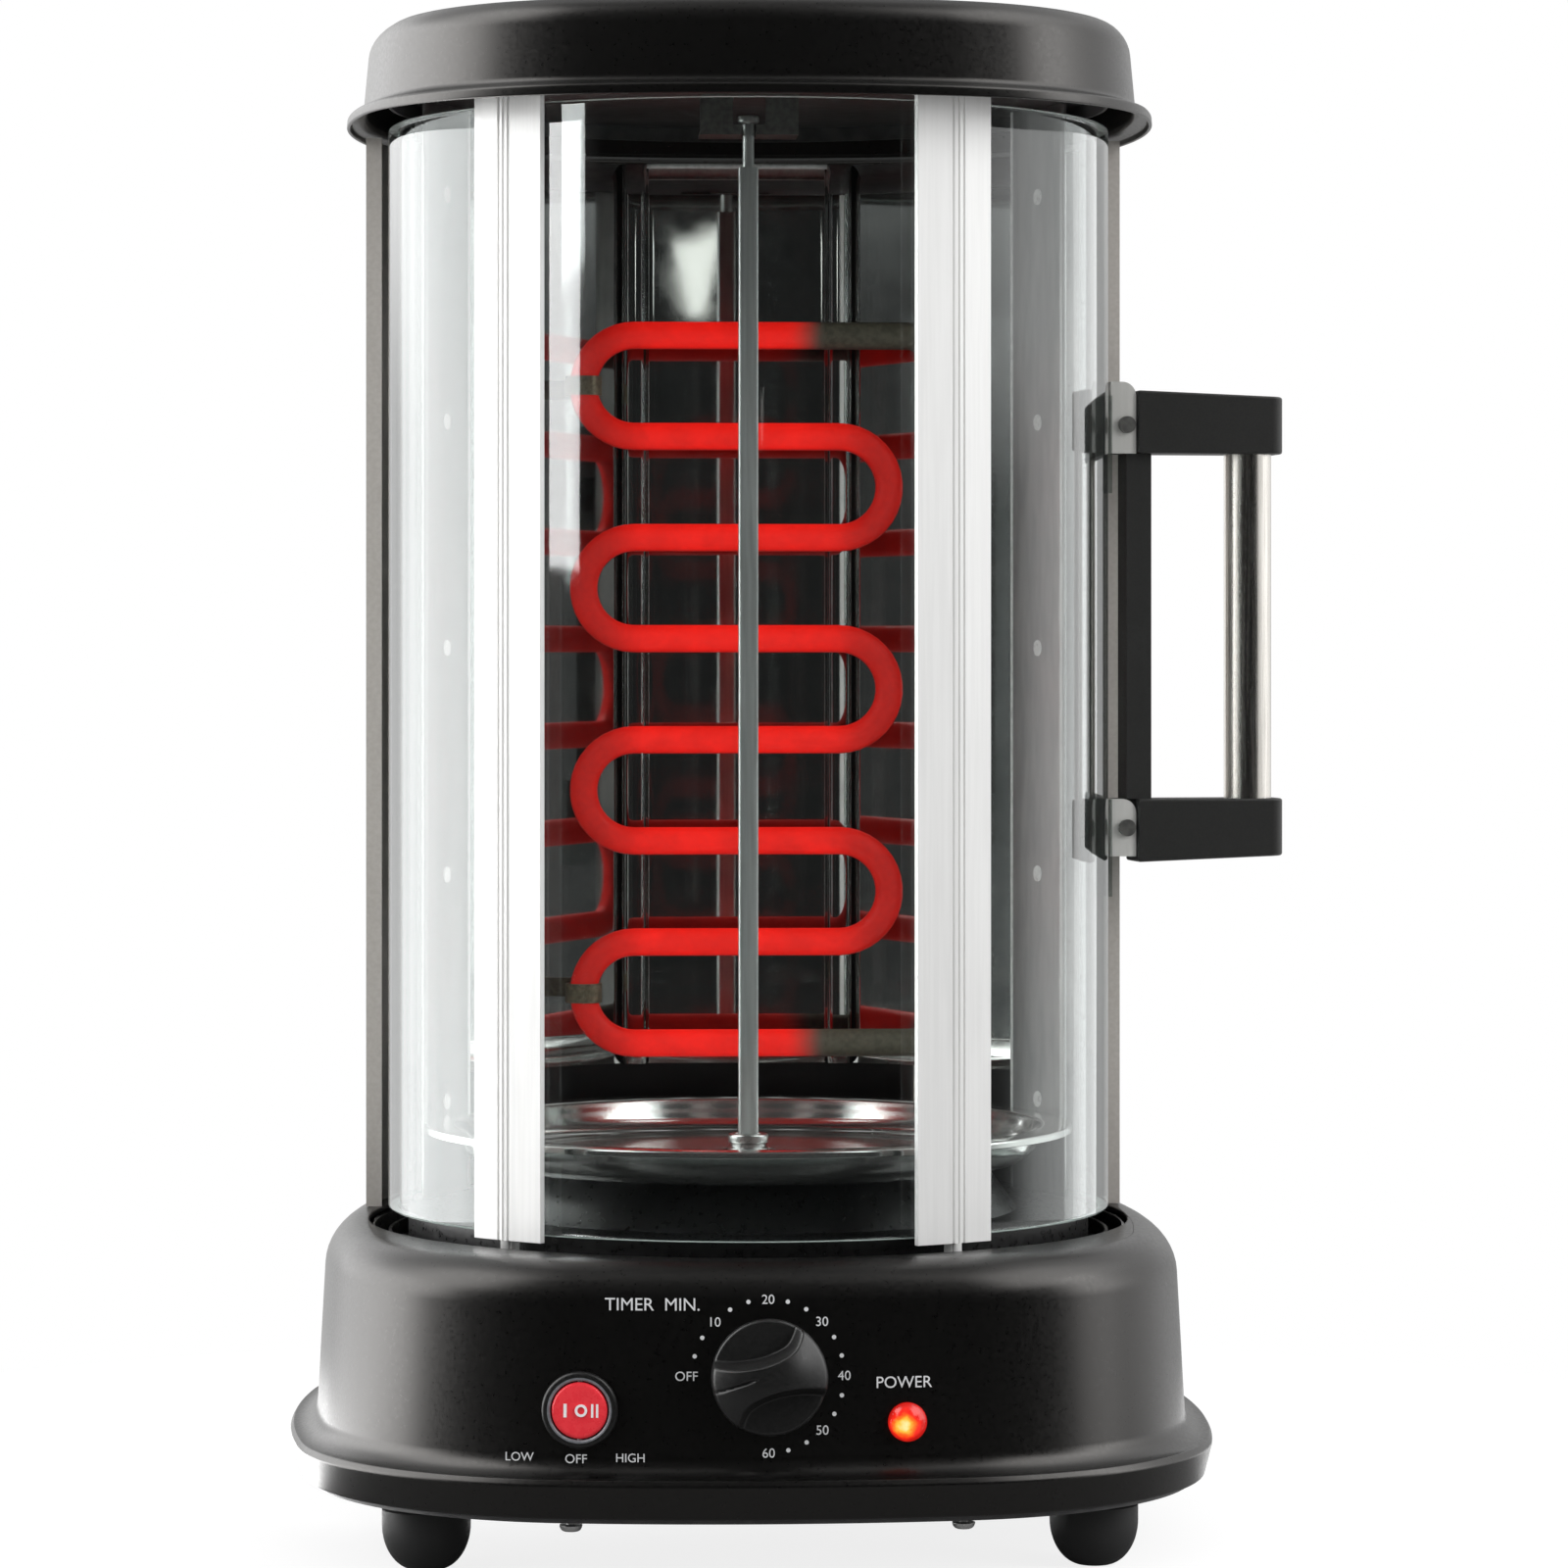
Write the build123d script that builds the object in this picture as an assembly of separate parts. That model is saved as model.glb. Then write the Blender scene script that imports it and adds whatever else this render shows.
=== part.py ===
from build123d import *
import math
import os

# Upright kebab grill. Lengths are in millimetres and angles in degrees.
# +Z is up, the front faces -Y, and the origin lies on the spit's axis at the counter.
# Angles round the spit's axis start at the front and grow towards +X.

# Fits shared by many pieces
overrun = 1.0
seat_gap = 0.3
running_gap = 0.05
sheet = 1.2
thin_sheet = 0.8
quarter_turn = 90
half_turn = 180

# Base shell, a squarish plan of wide side arcs and tight corner arcs
base_half = 139.5
base_corner = 92.0
base_side = 400.0
base_wall = 1.5
rim_low = 21.5
rim_height = 9.8
rim_taper = 2.5
rim_wall = 4.0
rim_flange = 14.0
flare_radius = 7.0
flare_inset = 1.0
flare_step = 1.7
body_height = 40.0
body_lean = 2.5
shoulder_radius = 13.0
top_reach = 45.0
deck_opening = 115.5

# Base plate, its screws and the feet
plate_inset = 6.0
plate_thickness = 1.5
plate_screw_angle = 8.2
plate_screw_inset = 10.0
plate_head_radius = 3.2
plate_head_height = 2.8
plate_screw_radius = 1.5
foot_angle = 37.68
foot_inset = 25.41
foot_radius = 12.8
foot_round = 11.0
foot_flat_radius = 5.0

# Glass ring: panes, joining strips, pins
glass_outer = 110.0
glass_wall = 3.5
glass_height = 328.0
glass_lift = 3.5
ring_middle_angle = -5.75
pane_angle = 72.0
strip_stand = 2.4
strip_wall = 1.9
strip_outer_angle = 6.05
strip_inner_angle = 7.0
strip_drop = 1.8
strip_rise = 3.5
groove_width = 0.8
groove_depth = 0.5
groove_pitch = 1.86
web_half = 1.2
web_gap = 0.1
pane_tuck_angle = 1.0
seal_angle = 8.0
seal_start_angle = 0.9
pane_gap_angle = 0.2
inner_strip_gap = 0.4
inner_strip_wall = 1.4
inner_strip_back_angle = 4.5
inner_strip_front_angle = 8.8
pin_radius = 1.35
stile_angle = 1.5
stile_stand = 1.6
stile_inset = 1.5

# Deck pan with the moat that guides the glass ring
moat_depth = 8.0
moat_gap = 0.9
moat_flange = 2.3
rail_wall = 1.0
rail_height = 4.5
rail_inset = 1.15
deck_rise = 3.0
plateau_rise = 13.7
plateau_radius = 72.0
ramp_radius = 82.0
bush_radius = 8.0
bush_drop = 3.5

# Door handle
handle_angle = 96.5
arm_half = 8.5
arm_root_half = 4.7
arm_length = 46.5
arm_height = 17.7
arm_root_rise = 1.8
arm_round = 4.0
arm_edge_round = 1.6
lower_arm_rise = 109.3
grip_height = 106.5
grip_radius = 7.35
grip_wall = 1.5
grip_inset = 9.8
bar_depth = 7.8
bar_lap = 2.8
bar_half = 6.0
pad_wall = 1.7
pad_half = 9.0
pad_height = 30.0
clip_half = 7.0
clip_wall = 2.0
clip_back_wall = 1.5
clip_depth = 8.0
clip_rise = 4.4
clip_screw_inset = 3.0
clip_screw_radius = 1.5
clip_head_radius = 2.6
clip_head_height = 1.6

# Lid, its liner and the spit bracket
lid_half = 122.5
lid_corner = 84.0
lid_side = 235.0
lid_overlap = 0.5
lip_height = 3.4
lip_inset = 5.0
lip_lead = 0.5
lid_shoulder_inset = 6.5
lid_round = 9.0
lid_room = 6.8
lid_top_reach = 45.0
liner_room = 8.0
liner_gap = 0.6
bracket_half = 15.0
bracket_height = 13.0
bracket_face = 8.0
bracket_back = 8.0
bracket_flange = 13.0
window_half = 5.0
window_sill = 3.0
slot_half = 2.2

# Rear cover and the posts
cover_inset = 3.0
cover_sheet = 1.0
cover_front = 30.0
cover_fold = 4.8
cover_tuck = 1.0
vent_width = 5.0
vent_height = 42.0
vent_pitch = 13.0
vent_count = 9
vent_rise = 47.0
vent_drop = 80.0
tab_angle = 146.0
tab_length = 11.6
tab_setback = 1.5
tab_screw_inset = 4.0
tab_half = 7.0
cover_head_radius = 2.8
cover_head_height = 1.8
post_half = 7.0
post_wall = 2.0

# Reflector
back_y = 86.0
rib_inner = 29.0
rib_width = 8.0
rib_depth = 3.0
panel_end_x = 86.5
panel_end_y = 53.0
band_end_x = 100.0
band_end_y = 22.0
panel_lift = 11.5
panel_drop = 2.0
band_screw_lift = 3.5
band_screw_drop = 14.0
band_screw_count = 5
band_head_radius = 2.5
band_head_height = 1.0

# Heating element
element_y = 50.0
element_radius = 4.35
element_drop = 57.0
element_pitch = 31.86
element_run_count = 8
element_left = -33.8
element_right = 30.8
cold_start = 26.0
cold_bend = 10.0
upper_cold_x = 58.0
lower_cold_x = 66.0
cold_tail = 4.0
stud_radius = 1.6
lead_radius = 1.2
lead_wall_gap = 0.3
lead_hole_gap = 0.2
clip_ring_wall = 1.0
clip_ring_gap = 0.45
clip_ring_height = 6.0
clip_leg_wall = 1.2

# Terminal block on the base plate
block_x = 62.0
block_y = 77.0
block_length = 30.0
block_width = 18.0
block_height = 14.0

# Gearmotor, drive hub, spit and drip tray
motor_radius = 27.0
motor_height = 32.0
motor_drop = 11.7
boss_radius = 7.6
boss_height = 6.0
shaft_radius = 3.5
shaft_depth = 8.0
bracket_span = 46.0
bracket_depth = 14.0
bracket_ear = 12.0
motor_screw_radius = 1.5
motor_head_radius = 3.0
motor_head_height = 2.0
hub_radius = 6.2
hub_gap = 0.5
hub_height = 7.8
socket_depth = 5.0
socket_gap = 0.15
spit_width = 6.0
neck_drop = 9.5
neck_radius = 1.8
head_radius = 3.3
head_gap = 4.0
head_height = 2.5
tray_rim = 99.0
tray_depth = 11.5
tray_rim_width = 8.5
tray_floor_radius = 79.5
tray_curl = 2.2
tray_hole_gap = 1.2
tray_collar = 3.4

# Controls on the front wall of the base
knob_rise = 21.3
knob_radius = 16.3
knob_gap = 3.0
knob_disc = 5.0
grip_rise = 9.5
grip_thick = 9.5
grip_length = 30.0
grip_edge_round = 2.4
timer_shaft_radius = 3.0
timer_shaft_back = 18.0
timer_neck_radius = 4.8
timer_neck_length = 2.4
timer_width = 44.0
timer_tall = 40.0
timer_deep = 28.0
timer_setback = 4.0
timer_nut_radius = 7.0
timer_nut_height = 2.0
switch_x = -53.0
switch_rise = 11.6
bezel_width = 2.55
bezel_rise = 2.2
bezel_gap = 0.25
switch_neck_wall = 1.05
switch_neck_length = 12.0
switch_body_length = 18.0
rocker_radius = 8.1
rocker_center = 0.6
rocker_front = 2.0
rocker_back = 5.0
pivot_radius = 0.8
pivot_inset = 0.2
lamp_x = 39.3
lamp_rise = 8.0
lamp_radius = 5.5
lamp_flange = 1.5
lamp_dome = 3.0
lamp_neck = 4.4
lamp_neck_length = 16.0
gland_rise = 10.0
gland_radius = 9.0
gland_flange = 4.0
gland_neck = 6.5
gland_neck_length = 12.0
gland_bore = 3.6

# Heights, each from the piece that carries it
plate_low = rim_low - plate_thickness
rim_edge = rim_low + rim_height
body_foot = rim_edge + flare_step + flare_radius
body_top = body_foot + body_height
crest = body_top + shoulder_radius
moat_floor = crest - moat_depth
deck_level = crest + deck_rise
plateau_level = deck_level + plateau_rise
tray_floor = plateau_level + seat_gap
tray_rim_level = tray_floor + tray_depth
glass_low = crest + glass_lift
glass_high = glass_low + glass_height
strip_low = glass_low - strip_drop
strip_high = glass_high + strip_rise
lid_low = glass_high - lid_overlap
liner_under = strip_high + liner_room
lid_shoulder = liner_under + sheet + lid_room
lid_crest = lid_shoulder + lid_round
bracket_low = liner_under - bracket_height
window_low = bracket_low + window_sill
window_high = liner_under - sheet
cover_high = lid_low + cover_tuck
panel_low = tray_rim_level + panel_lift
panel_high = lid_low - panel_drop
band_screw_low = tray_rim_level + band_screw_lift
band_screw_high = panel_high - band_screw_drop
element_top = panel_high - element_drop
element_bottom = element_top - (element_run_count - 1) * element_pitch
lower_arm_low = crest + lower_arm_rise
upper_arm_low = lower_arm_low + arm_height + grip_height
motor_high = plateau_level - motor_drop
motor_low = motor_high - motor_height
shaft_low = motor_high - shaft_depth
hub_low = plateau_level + hub_gap
hub_high = hub_low + hub_height
spit_shoulder = bracket_low - neck_drop
head_low = bracket_low + head_gap
head_high = head_low + head_height
knob_height = body_foot + knob_rise
switch_height = body_foot + switch_rise
lamp_height = body_foot + lamp_rise
gland_height = body_foot + gland_rise

# Radii round the spit, each from the glass
glass_inner = glass_outer - glass_wall
strip_face = glass_outer + strip_stand
inner_strip_outer = glass_inner - inner_strip_gap
web_reach = inner_strip_outer + web_gap
stile_outer = glass_outer + stile_stand
stile_inner = glass_inner - stile_inset
rail_outer = glass_outer - rail_inset + rail_wall
rail_inner = glass_outer - rail_inset
inner_pin_center = rail_inner - seat_gap - pin_radius
outer_pin_center = rail_outer + seat_gap + pin_radius
moat_outer = deck_opening - seat_gap
moat_inner = inner_strip_outer - inner_strip_wall - moat_gap
pad_inner = glass_outer + seat_gap
clip_back = pad_inner + pad_wall
clip_reach = clip_back + clip_depth
clip_screw_center = clip_reach - clip_screw_inset
arm_start = clip_reach + seat_gap
arm_root = clip_back + clip_back_wall + seat_gap
arm_tip = arm_start + arm_length
grip_center = arm_tip - grip_inset
bar_inner = clip_reach - bar_lap
bar_outer = bar_inner + bar_depth
tab_inner = deck_opening + tab_setback
tab_outer = tab_inner + tab_length
cover_screw_center = tab_inner + tab_screw_inset
lead_circle = moat_inner - sheet - lead_wall_gap - lead_radius
rib_outer = rib_inner + rib_width
tray_hole = hub_radius + tray_hole_gap
bezel_hole = rocker_radius + bezel_gap
bezel_radius = bezel_hole + bezel_width
switch_neck = bezel_hole + switch_neck_wall
pivot_half = switch_neck - pivot_inset

# Plans and seams
base_reach = base_side - base_half
base_plan = (base_half, base_corner, base_side)
lid_plan = (lid_half, lid_corner, lid_side)
left_seam_angle = ring_middle_angle - pane_angle / 2
right_seam_angle = ring_middle_angle + pane_angle / 2
ring_left_end_angle = left_seam_angle - pane_angle
ring_right_end_angle = right_seam_angle + pane_angle


def disc(radius, low, high):
    """Cylinder along the Z axis between two heights."""
    return extrude(Pos(0, 0, low) * Circle(radius), amount=high - low)


def ring(outer, inner, low, high):
    """Tube along the Z axis between two heights."""
    return disc(outer, low, high) - disc(inner, low - overrun, high + overrun)


def block(low, high):
    """Box between two opposite corners."""
    size = [top - bottom for bottom, top in zip(low, high)]
    return Pos(*low) * Box(*size, align=(Align.MIN, Align.MIN, Align.MIN))


def rod(start, stop, radius):
    """Cylinder from one point to another."""
    line = Vector(*stop) - Vector(*start)
    return extrude(Plane(origin=start, z_dir=line) * Circle(radius), amount=line.length)


def prism(points, low, high):
    """Upright prism over a polygon in plan."""
    return extrude(Pos(0, 0, low) * Polygon(*points, align=None), amount=high - low)


def turned(points):
    """Solid turned about the spit's axis from a radius and height outline."""
    return revolve(Plane.XZ * Polygon(*points, align=None), axis=Axis.Z)


def sector(outer, inner, start, stop, low, high):
    """Part of an upright tube between two angles from the front."""
    far = CenterArc((0, 0), outer, start - quarter_turn, stop - start)
    near = CenterArc((0, 0), inner, start - quarter_turn, stop - start)
    face = make_face([far, near, Line(far @ 0, near @ 0), Line(far @ 1, near @ 1)])
    return extrude(Pos(0, 0, low) * face, amount=high - low)


def turn_to(angle, piece):
    """Turn a piece that was made at the front to an angle round the spit."""
    return Rot(0, 0, angle) * piece


def plan_corner(plan):
    """Place of a plan's corner arc centre along both axes, and the half angle of its side arcs."""
    half, corner, side = plan
    reach = side - half
    corner_center = (math.sqrt(2 * (side - corner) ** 2 - reach ** 2) - reach) / 2
    return corner_center, math.degrees(math.atan2(corner_center, corner_center + reach))


def plan_point(plan, inset, angle):
    """Point inside a plan's outline, under the place in its first quarter where it faces the angle."""
    half, corner, side = plan
    corner_center, swing = plan_corner(plan)
    facing = (math.cos(math.radians(angle)), math.sin(math.radians(angle)))
    if angle < swing:
        return (half - side + (side - inset) * facing[0], (side - inset) * facing[1])
    return tuple(corner_center + (corner - inset) * part for part in facing)


def outline(plan, inset=0):
    """Closed squarish outline of side arcs and corner arcs, moved inward by the inset."""
    half, corner, side = [size - inset for size in plan]
    reach = side - half
    corner_center, swing = plan_corner(plan)
    arcs = []
    for turn in (0, quarter_turn, half_turn, half_turn + quarter_turn):
        first = CenterArc((-reach, 0), side, 0, swing)
        bend = CenterArc((corner_center, corner_center), corner, swing, quarter_turn - 2 * swing)
        last = CenterArc((0, -reach), side, quarter_turn - swing, swing)
        arcs += [edge.rotate(Axis.Z, turn) for edge in (first, bend, last)]
    return Wire(arcs)


def plan_slab(plan, inset, low, high):
    """Upright slab with a squarish outline."""
    return extrude(Pos(0, 0, low) * make_face(outline(plan, inset)), amount=high - low)


def wall_inset(height):
    """Inset of the base's sloping outer wall at a height."""
    climb_share = (height - body_foot) / body_height
    return flare_inset + flare_radius + body_lean * climb_share


def front_plane(x, height):
    """Plane on the base's front wall with its normal pointing out of the wall."""
    radius = base_side - wall_inset(height)
    swing = math.asin(x / radius)
    tilt = math.atan2(body_lean, body_height)
    normal = (math.sin(swing) * math.cos(tilt), -math.cos(swing) * math.cos(tilt), math.sin(tilt))
    origin = (x, base_reach - radius * math.cos(swing), height)
    return Plane(origin=origin, x_dir=(math.cos(swing), math.sin(swing), 0), z_dir=normal)


def plate_screw_places():
    """Places of the screws that hold the base plate to the rim's flange."""
    depth, side = plan_point(base_plan, plate_screw_inset, plate_screw_angle)
    places = [(x, y) for x in (-side, side) for y in (-depth, depth)]
    return places + [(plate_screw_inset - base_half, 0), (base_half - plate_screw_inset, 0)]


knob_plane = front_plane(0, knob_height)
switch_plane = front_plane(switch_x, switch_height)
lamp_plane = front_plane(lamp_x, lamp_height)
gland_y = base_half - wall_inset(gland_height - gland_radius)


# Base

def base_shell():
    flare_x = base_half - flare_inset
    shoulder_x = base_half - wall_inset(body_top) - shoulder_radius
    inner_flare = flare_radius + base_wall
    inner_shoulder = shoulder_radius - base_wall
    flare = CenterArc((flare_x, body_foot), flare_radius, -quarter_turn, -quarter_turn)
    shoulder = CenterArc((shoulder_x, body_top), shoulder_radius, 0, quarter_turn)
    back_shoulder = CenterArc((shoulder_x, body_top), inner_shoulder, quarter_turn, -quarter_turn)
    back_flare = CenterArc((flare_x, body_foot), inner_flare, half_turn, quarter_turn / 2)
    rim = Polyline((base_half - rim_taper, rim_low), (base_half, rim_edge), flare @ 0)
    wall = Line(flare @ 1, shoulder @ 0)
    top_end = base_half - top_reach
    top = Polyline(shoulder @ 1, (top_end, crest), (top_end, crest - base_wall), back_shoulder @ 0)
    back_wall = Line(back_shoulder @ 1, back_flare @ 0)
    flange_end = base_half - rim_flange
    foot = Polyline(
        back_flare @ 1,
        (base_half - rim_wall, rim_edge),
        (base_half - rim_wall, rim_low + base_wall),
        (flange_end, rim_low + base_wall),
        (flange_end, rim_low),
        rim @ 0,
    )
    loops = [rim, flare, wall, shoulder, top, back_shoulder, back_wall, back_flare, foot]
    section = Plane.XZ * make_face([edge for part in loops for edge in part.edges()])
    shell = sweep(section, path=outline(base_plan))
    shell -= disc(deck_opening, body_top, crest + overrun)
    for plane, radius in (
        (knob_plane, timer_neck_radius),
        (switch_plane, switch_neck),
        (lamp_plane, lamp_neck),
    ):
        shell -= plane * Cylinder(radius + seat_gap, 2 * flare_radius)
    gland_start = (0, gland_y - gland_neck_length, gland_height)
    shell -= rod(gland_start, (0, base_half, gland_height), gland_neck + seat_gap)
    for x, y in plate_screw_places():
        shell -= Pos(x, y, 0) * disc(plate_screw_radius + running_gap, plate_low, rim_edge)
    return shell


def base_plate():
    plate = plan_slab(base_plan, plate_inset, plate_low, rim_low)
    for x, y in plate_screw_places():
        plate -= Pos(x, y, 0) * disc(plate_screw_radius + running_gap, 0, rim_edge)
    return plate


def base_screws():
    screws = []
    for x, y in plate_screw_places():
        screw = disc(plate_head_radius, plate_low - plate_head_height, plate_low)
        screw = fillet(screw.edges().group_by(Axis.Z)[0], plate_head_height / 2)
        screw += disc(plate_screw_radius, plate_low - plate_head_height / 2, rim_low + 2 * base_wall)
        screws.append(Pos(x, y, 0) * screw)
    return Compound(children=screws)


def foot():
    arc = ThreePointArc(
        (foot_radius, foot_round),
        (
            foot_flat_radius + (foot_radius - foot_flat_radius) * math.sin(math.radians(half_turn / 4)),
            foot_round * (1 - math.sin(math.radians(half_turn / 4))),
        ),
        (foot_flat_radius, 0),
    )
    rest = Polyline(arc @ 1, (0, 0), (0, plate_low), (foot_radius, plate_low), arc @ 0)
    return revolve(Plane.XZ * make_face([*arc.edges(), *rest.edges()]), axis=Axis.Z)


def deck_pan():
    under = moat_floor - sheet
    top_under = plateau_level - sheet
    flange_top = crest - base_wall - seat_gap
    pan = turned([
        (bush_radius, plateau_level),
        (plateau_radius, plateau_level),
        (ramp_radius, deck_level),
        (moat_inner, deck_level),
        (moat_inner, moat_floor),
        (rail_inner, moat_floor),
        (rail_inner, moat_floor + rail_height),
        (rail_outer, moat_floor + rail_height),
        (rail_outer, moat_floor),
        (moat_outer - sheet, moat_floor),
        (moat_outer - sheet, flange_top),
        (moat_outer + moat_flange, flange_top),
        (moat_outer + moat_flange, flange_top - sheet),
        (moat_outer, flange_top - sheet),
        (moat_outer, under),
        (moat_inner - sheet, under),
        (moat_inner - sheet, deck_level - sheet),
        (ramp_radius - sheet / 2, deck_level - sheet),
        (plateau_radius - sheet / 2, top_under),
        (bush_radius, top_under),
    ])
    for x in (upper_cold_x, lower_cold_x):
        pan -= Pos(x, lead_depth(x), 0) * disc(lead_radius + lead_hole_gap, under, plateau_level)
    for x in motor_screw_places():
        pan -= Pos(x, 0, 0) * disc(motor_screw_radius + running_gap, under, plateau_level + overrun)
    return pan


def deck_bush():
    return ring(bush_radius, shaft_radius + running_gap, plateau_level - bush_drop, plateau_level)


# Lid

def lid_shell():
    def at(inset, height):
        return (lid_half - inset, height)

    round_x = lid_half - lid_shoulder_inset - lid_round
    outer_round = CenterArc((round_x, lid_shoulder), lid_round, 0, quarter_turn)
    inner_round = CenterArc((round_x, lid_shoulder), lid_round - sheet, quarter_turn, -quarter_turn)
    lip_top = lid_low + lip_height
    lip = Polyline(
        at(lip_lead, lid_low),
        at(0, lid_low + lip_height / 2),
        at(lip_lead, lip_top),
        at(lip_inset, lip_top + sheet),
        outer_round @ 0,
    )
    top_end = lid_half - lid_top_reach
    top = Polyline(outer_round @ 1, (top_end, lid_crest), (top_end, lid_crest - sheet), inner_round @ 0)
    back = Polyline(
        inner_round @ 1,
        at(lip_inset + sheet, lip_top),
        at(sheet + lip_lead, lip_top - sheet),
        at(sheet, lid_low + lip_height / 2),
        at(sheet + lip_lead, lid_low),
        lip @ 0,
    )
    loops = [lip, outer_round, top, inner_round, back]
    section = Plane.XZ * make_face([edge for part in loops for edge in part.edges()])
    shell = sweep(section, path=outline(lid_plan))
    return shell + plan_slab(lid_plan, lid_top_reach - overrun, lid_crest - sheet, lid_crest)


def lid_liner():
    climb_share = (liner_under - lid_low - lip_height) / (lid_shoulder - lid_low - lip_height)
    wall = lip_inset + (lid_shoulder_inset - lip_inset) * climb_share + sheet
    liner = plan_slab(lid_plan, wall + liner_gap, liner_under, liner_under + sheet)
    return liner + ring(rail_outer, rail_inner, liner_under - rail_height, liner_under)


def spit_bracket():
    front = -bracket_face
    plate = block((-bracket_half, front, bracket_low), (bracket_half, front + sheet, liner_under))
    lip = block((-bracket_half, front, bracket_low), (bracket_half, bracket_back, bracket_low + sheet))
    flange_low = (-bracket_half, front - bracket_flange, liner_under - sheet)
    bracket = plate + lip + block(flange_low, (bracket_half, front + sheet, liner_under))
    bracket -= block((-window_half, front - overrun, window_low), (window_half, 0, window_high))
    slot_low = (-slot_half, front - overrun, bracket_low - overrun)
    bracket -= block(slot_low, (slot_half, 0, window_low + overrun))
    return bracket - disc(slot_half, bracket_low - overrun, window_low)


# Rear housing

def cover_outline(inset):
    return make_face(outline(lid_plan, cover_inset + inset))


def rear_cover():
    wide = 2 * lid_half
    front_cut = block((-wide, -wide, 0), (wide, cover_front, 2 * cover_high))
    height = cover_high - crest
    cover = extrude(Pos(0, 0, crest) * (cover_outline(0) - cover_outline(cover_sheet)), amount=height)
    fold = extrude(Pos(0, 0, crest) * (cover_outline(0) - cover_outline(cover_fold)), amount=height)
    fold -= block((-wide, cover_front + cover_sheet, 0), (wide, wide, 2 * cover_high))
    cover = (cover + fold) - front_cut
    first = -(vent_count - 1) / 2 * vent_pitch
    for low in (crest + vent_rise, cover_high - vent_drop):
        for index in range(vent_count):
            x = first + index * vent_pitch
            corner = (x - vent_width / 2, 0, low)
            cover -= block(corner, (x + vent_width / 2, wide, low + vent_height))
    for side in (-1, 1):
        tab = block((-tab_half, -tab_outer, crest), (tab_half, -tab_inner, crest + cover_sheet))
        tab -= Pos(0, -cover_screw_center, 0) * disc(clip_screw_radius, crest - overrun, crest + tab_half)
        cover += turn_to(side * tab_angle, tab)
    return cover


def rear_cover_screws():
    seat = crest + cover_sheet
    head = Pos(0, -cover_screw_center, 0) * disc(cover_head_radius, seat, seat + cover_head_height)
    return Compound(children=[turn_to(side * tab_angle, head) for side in (-1, 1)])


def band_frame():
    """Middle of the right reflector band's inner face, and the way out through the band."""
    along = Vector(band_end_x - panel_end_x, band_end_y - panel_end_y, 0).normalized()
    middle = Vector((band_end_x + panel_end_x) / 2, (band_end_y + panel_end_y) / 2, 0)
    return Plane(origin=middle, x_dir=(0, 0, 1), z_dir=(-along.Y, along.X, 0))


def mirrored(piece):
    """The same piece on the other side of the middle."""
    return mirror(piece, about=Plane.YZ)


def post_right():
    frame = band_frame()
    inner = frame.origin + frame.z_dir * thin_sheet
    outer = inner + frame.z_dir * post_wall
    along = frame.y_dir * post_half
    corners = [inner + along, outer + along, outer - along, inner - along]
    return prism([(point.X, point.Y) for point in corners], deck_level, liner_under)


# Reflector

def reflector_back():
    panel = block((-rib_outer, back_y, panel_low), (rib_outer, back_y + thin_sheet, panel_high))
    for x in (-rib_outer, rib_inner):
        rib_end = x + rib_outer - rib_inner
        panel += block((x, back_y - rib_depth, panel_low), (rib_end, back_y, panel_high))
    return panel


def reflector_side_right():
    start = Vector(rib_outer, back_y)
    corner = Vector(panel_end_x, panel_end_y)
    end = Vector(band_end_x, band_end_y)
    first = (corner - start).normalized()
    second = (end - corner).normalized()
    first_out = Vector(-first.Y, first.X)
    second_out = Vector(-second.Y, second.X)
    miter = (first_out + second_out) * (thin_sheet / (1 + first_out.dot(second_out)))
    back = [start + first_out * thin_sheet, corner + miter, end + second_out * thin_sheet]
    panel = prism([(p.X, p.Y) for p in (start, corner, back[1], back[0])], panel_low, panel_high)
    band = prism([(p.X, p.Y) for p in (corner, end, back[2], back[1])], deck_level, liner_under)
    sheet_metal = panel + band
    for x, height in ((upper_cold_x, element_top), (lower_cold_x, element_bottom)):
        start = (x, element_y, height)
        sheet_metal -= rod(start, (x, back_y + rib_depth, height), element_radius + seat_gap)
    return sheet_metal


def reflector_screws():
    frame = band_frame()
    step = (band_screw_high - band_screw_low) / (band_screw_count - 1)
    screws = []
    for index in range(band_screw_count):
        seat = frame.origin + Vector(0, 0, band_screw_low + index * step)
        screws.append(rod(seat, seat - frame.z_dir * band_head_height, band_head_radius))
    return Compound(children=screws + [mirrored(screw) for screw in screws])


# Heating element

def heating_element():
    edges = []
    for index in range(element_run_count):
        height = element_top - index * element_pitch
        first_x = cold_start if index in (0, element_run_count - 1) else element_right
        edges.append(Line((element_left, element_y, height), (first_x, element_y, height)))
        if index == element_run_count - 1:
            continue
        side = -1 if index % 2 == 0 else 1
        bend_x = element_left if side < 0 else element_right
        middle = (bend_x + side * element_pitch / 2, element_y, height - element_pitch / 2)
        below = (bend_x, element_y, height - element_pitch)
        edges.append(ThreePointArc((bend_x, element_y, height), middle, below))
    start = Plane(origin=(cold_start, element_y, element_top), z_dir=(-1, 0, 0))
    return sweep(start * Circle(element_radius), path=Wire(edges))


def panel_depth(x):
    """Depth of the reflector's side panel at a place across, on its inner face."""
    return back_y - (x - rib_outer) * (back_y - panel_end_y) / (panel_end_x - rib_outer)


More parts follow.
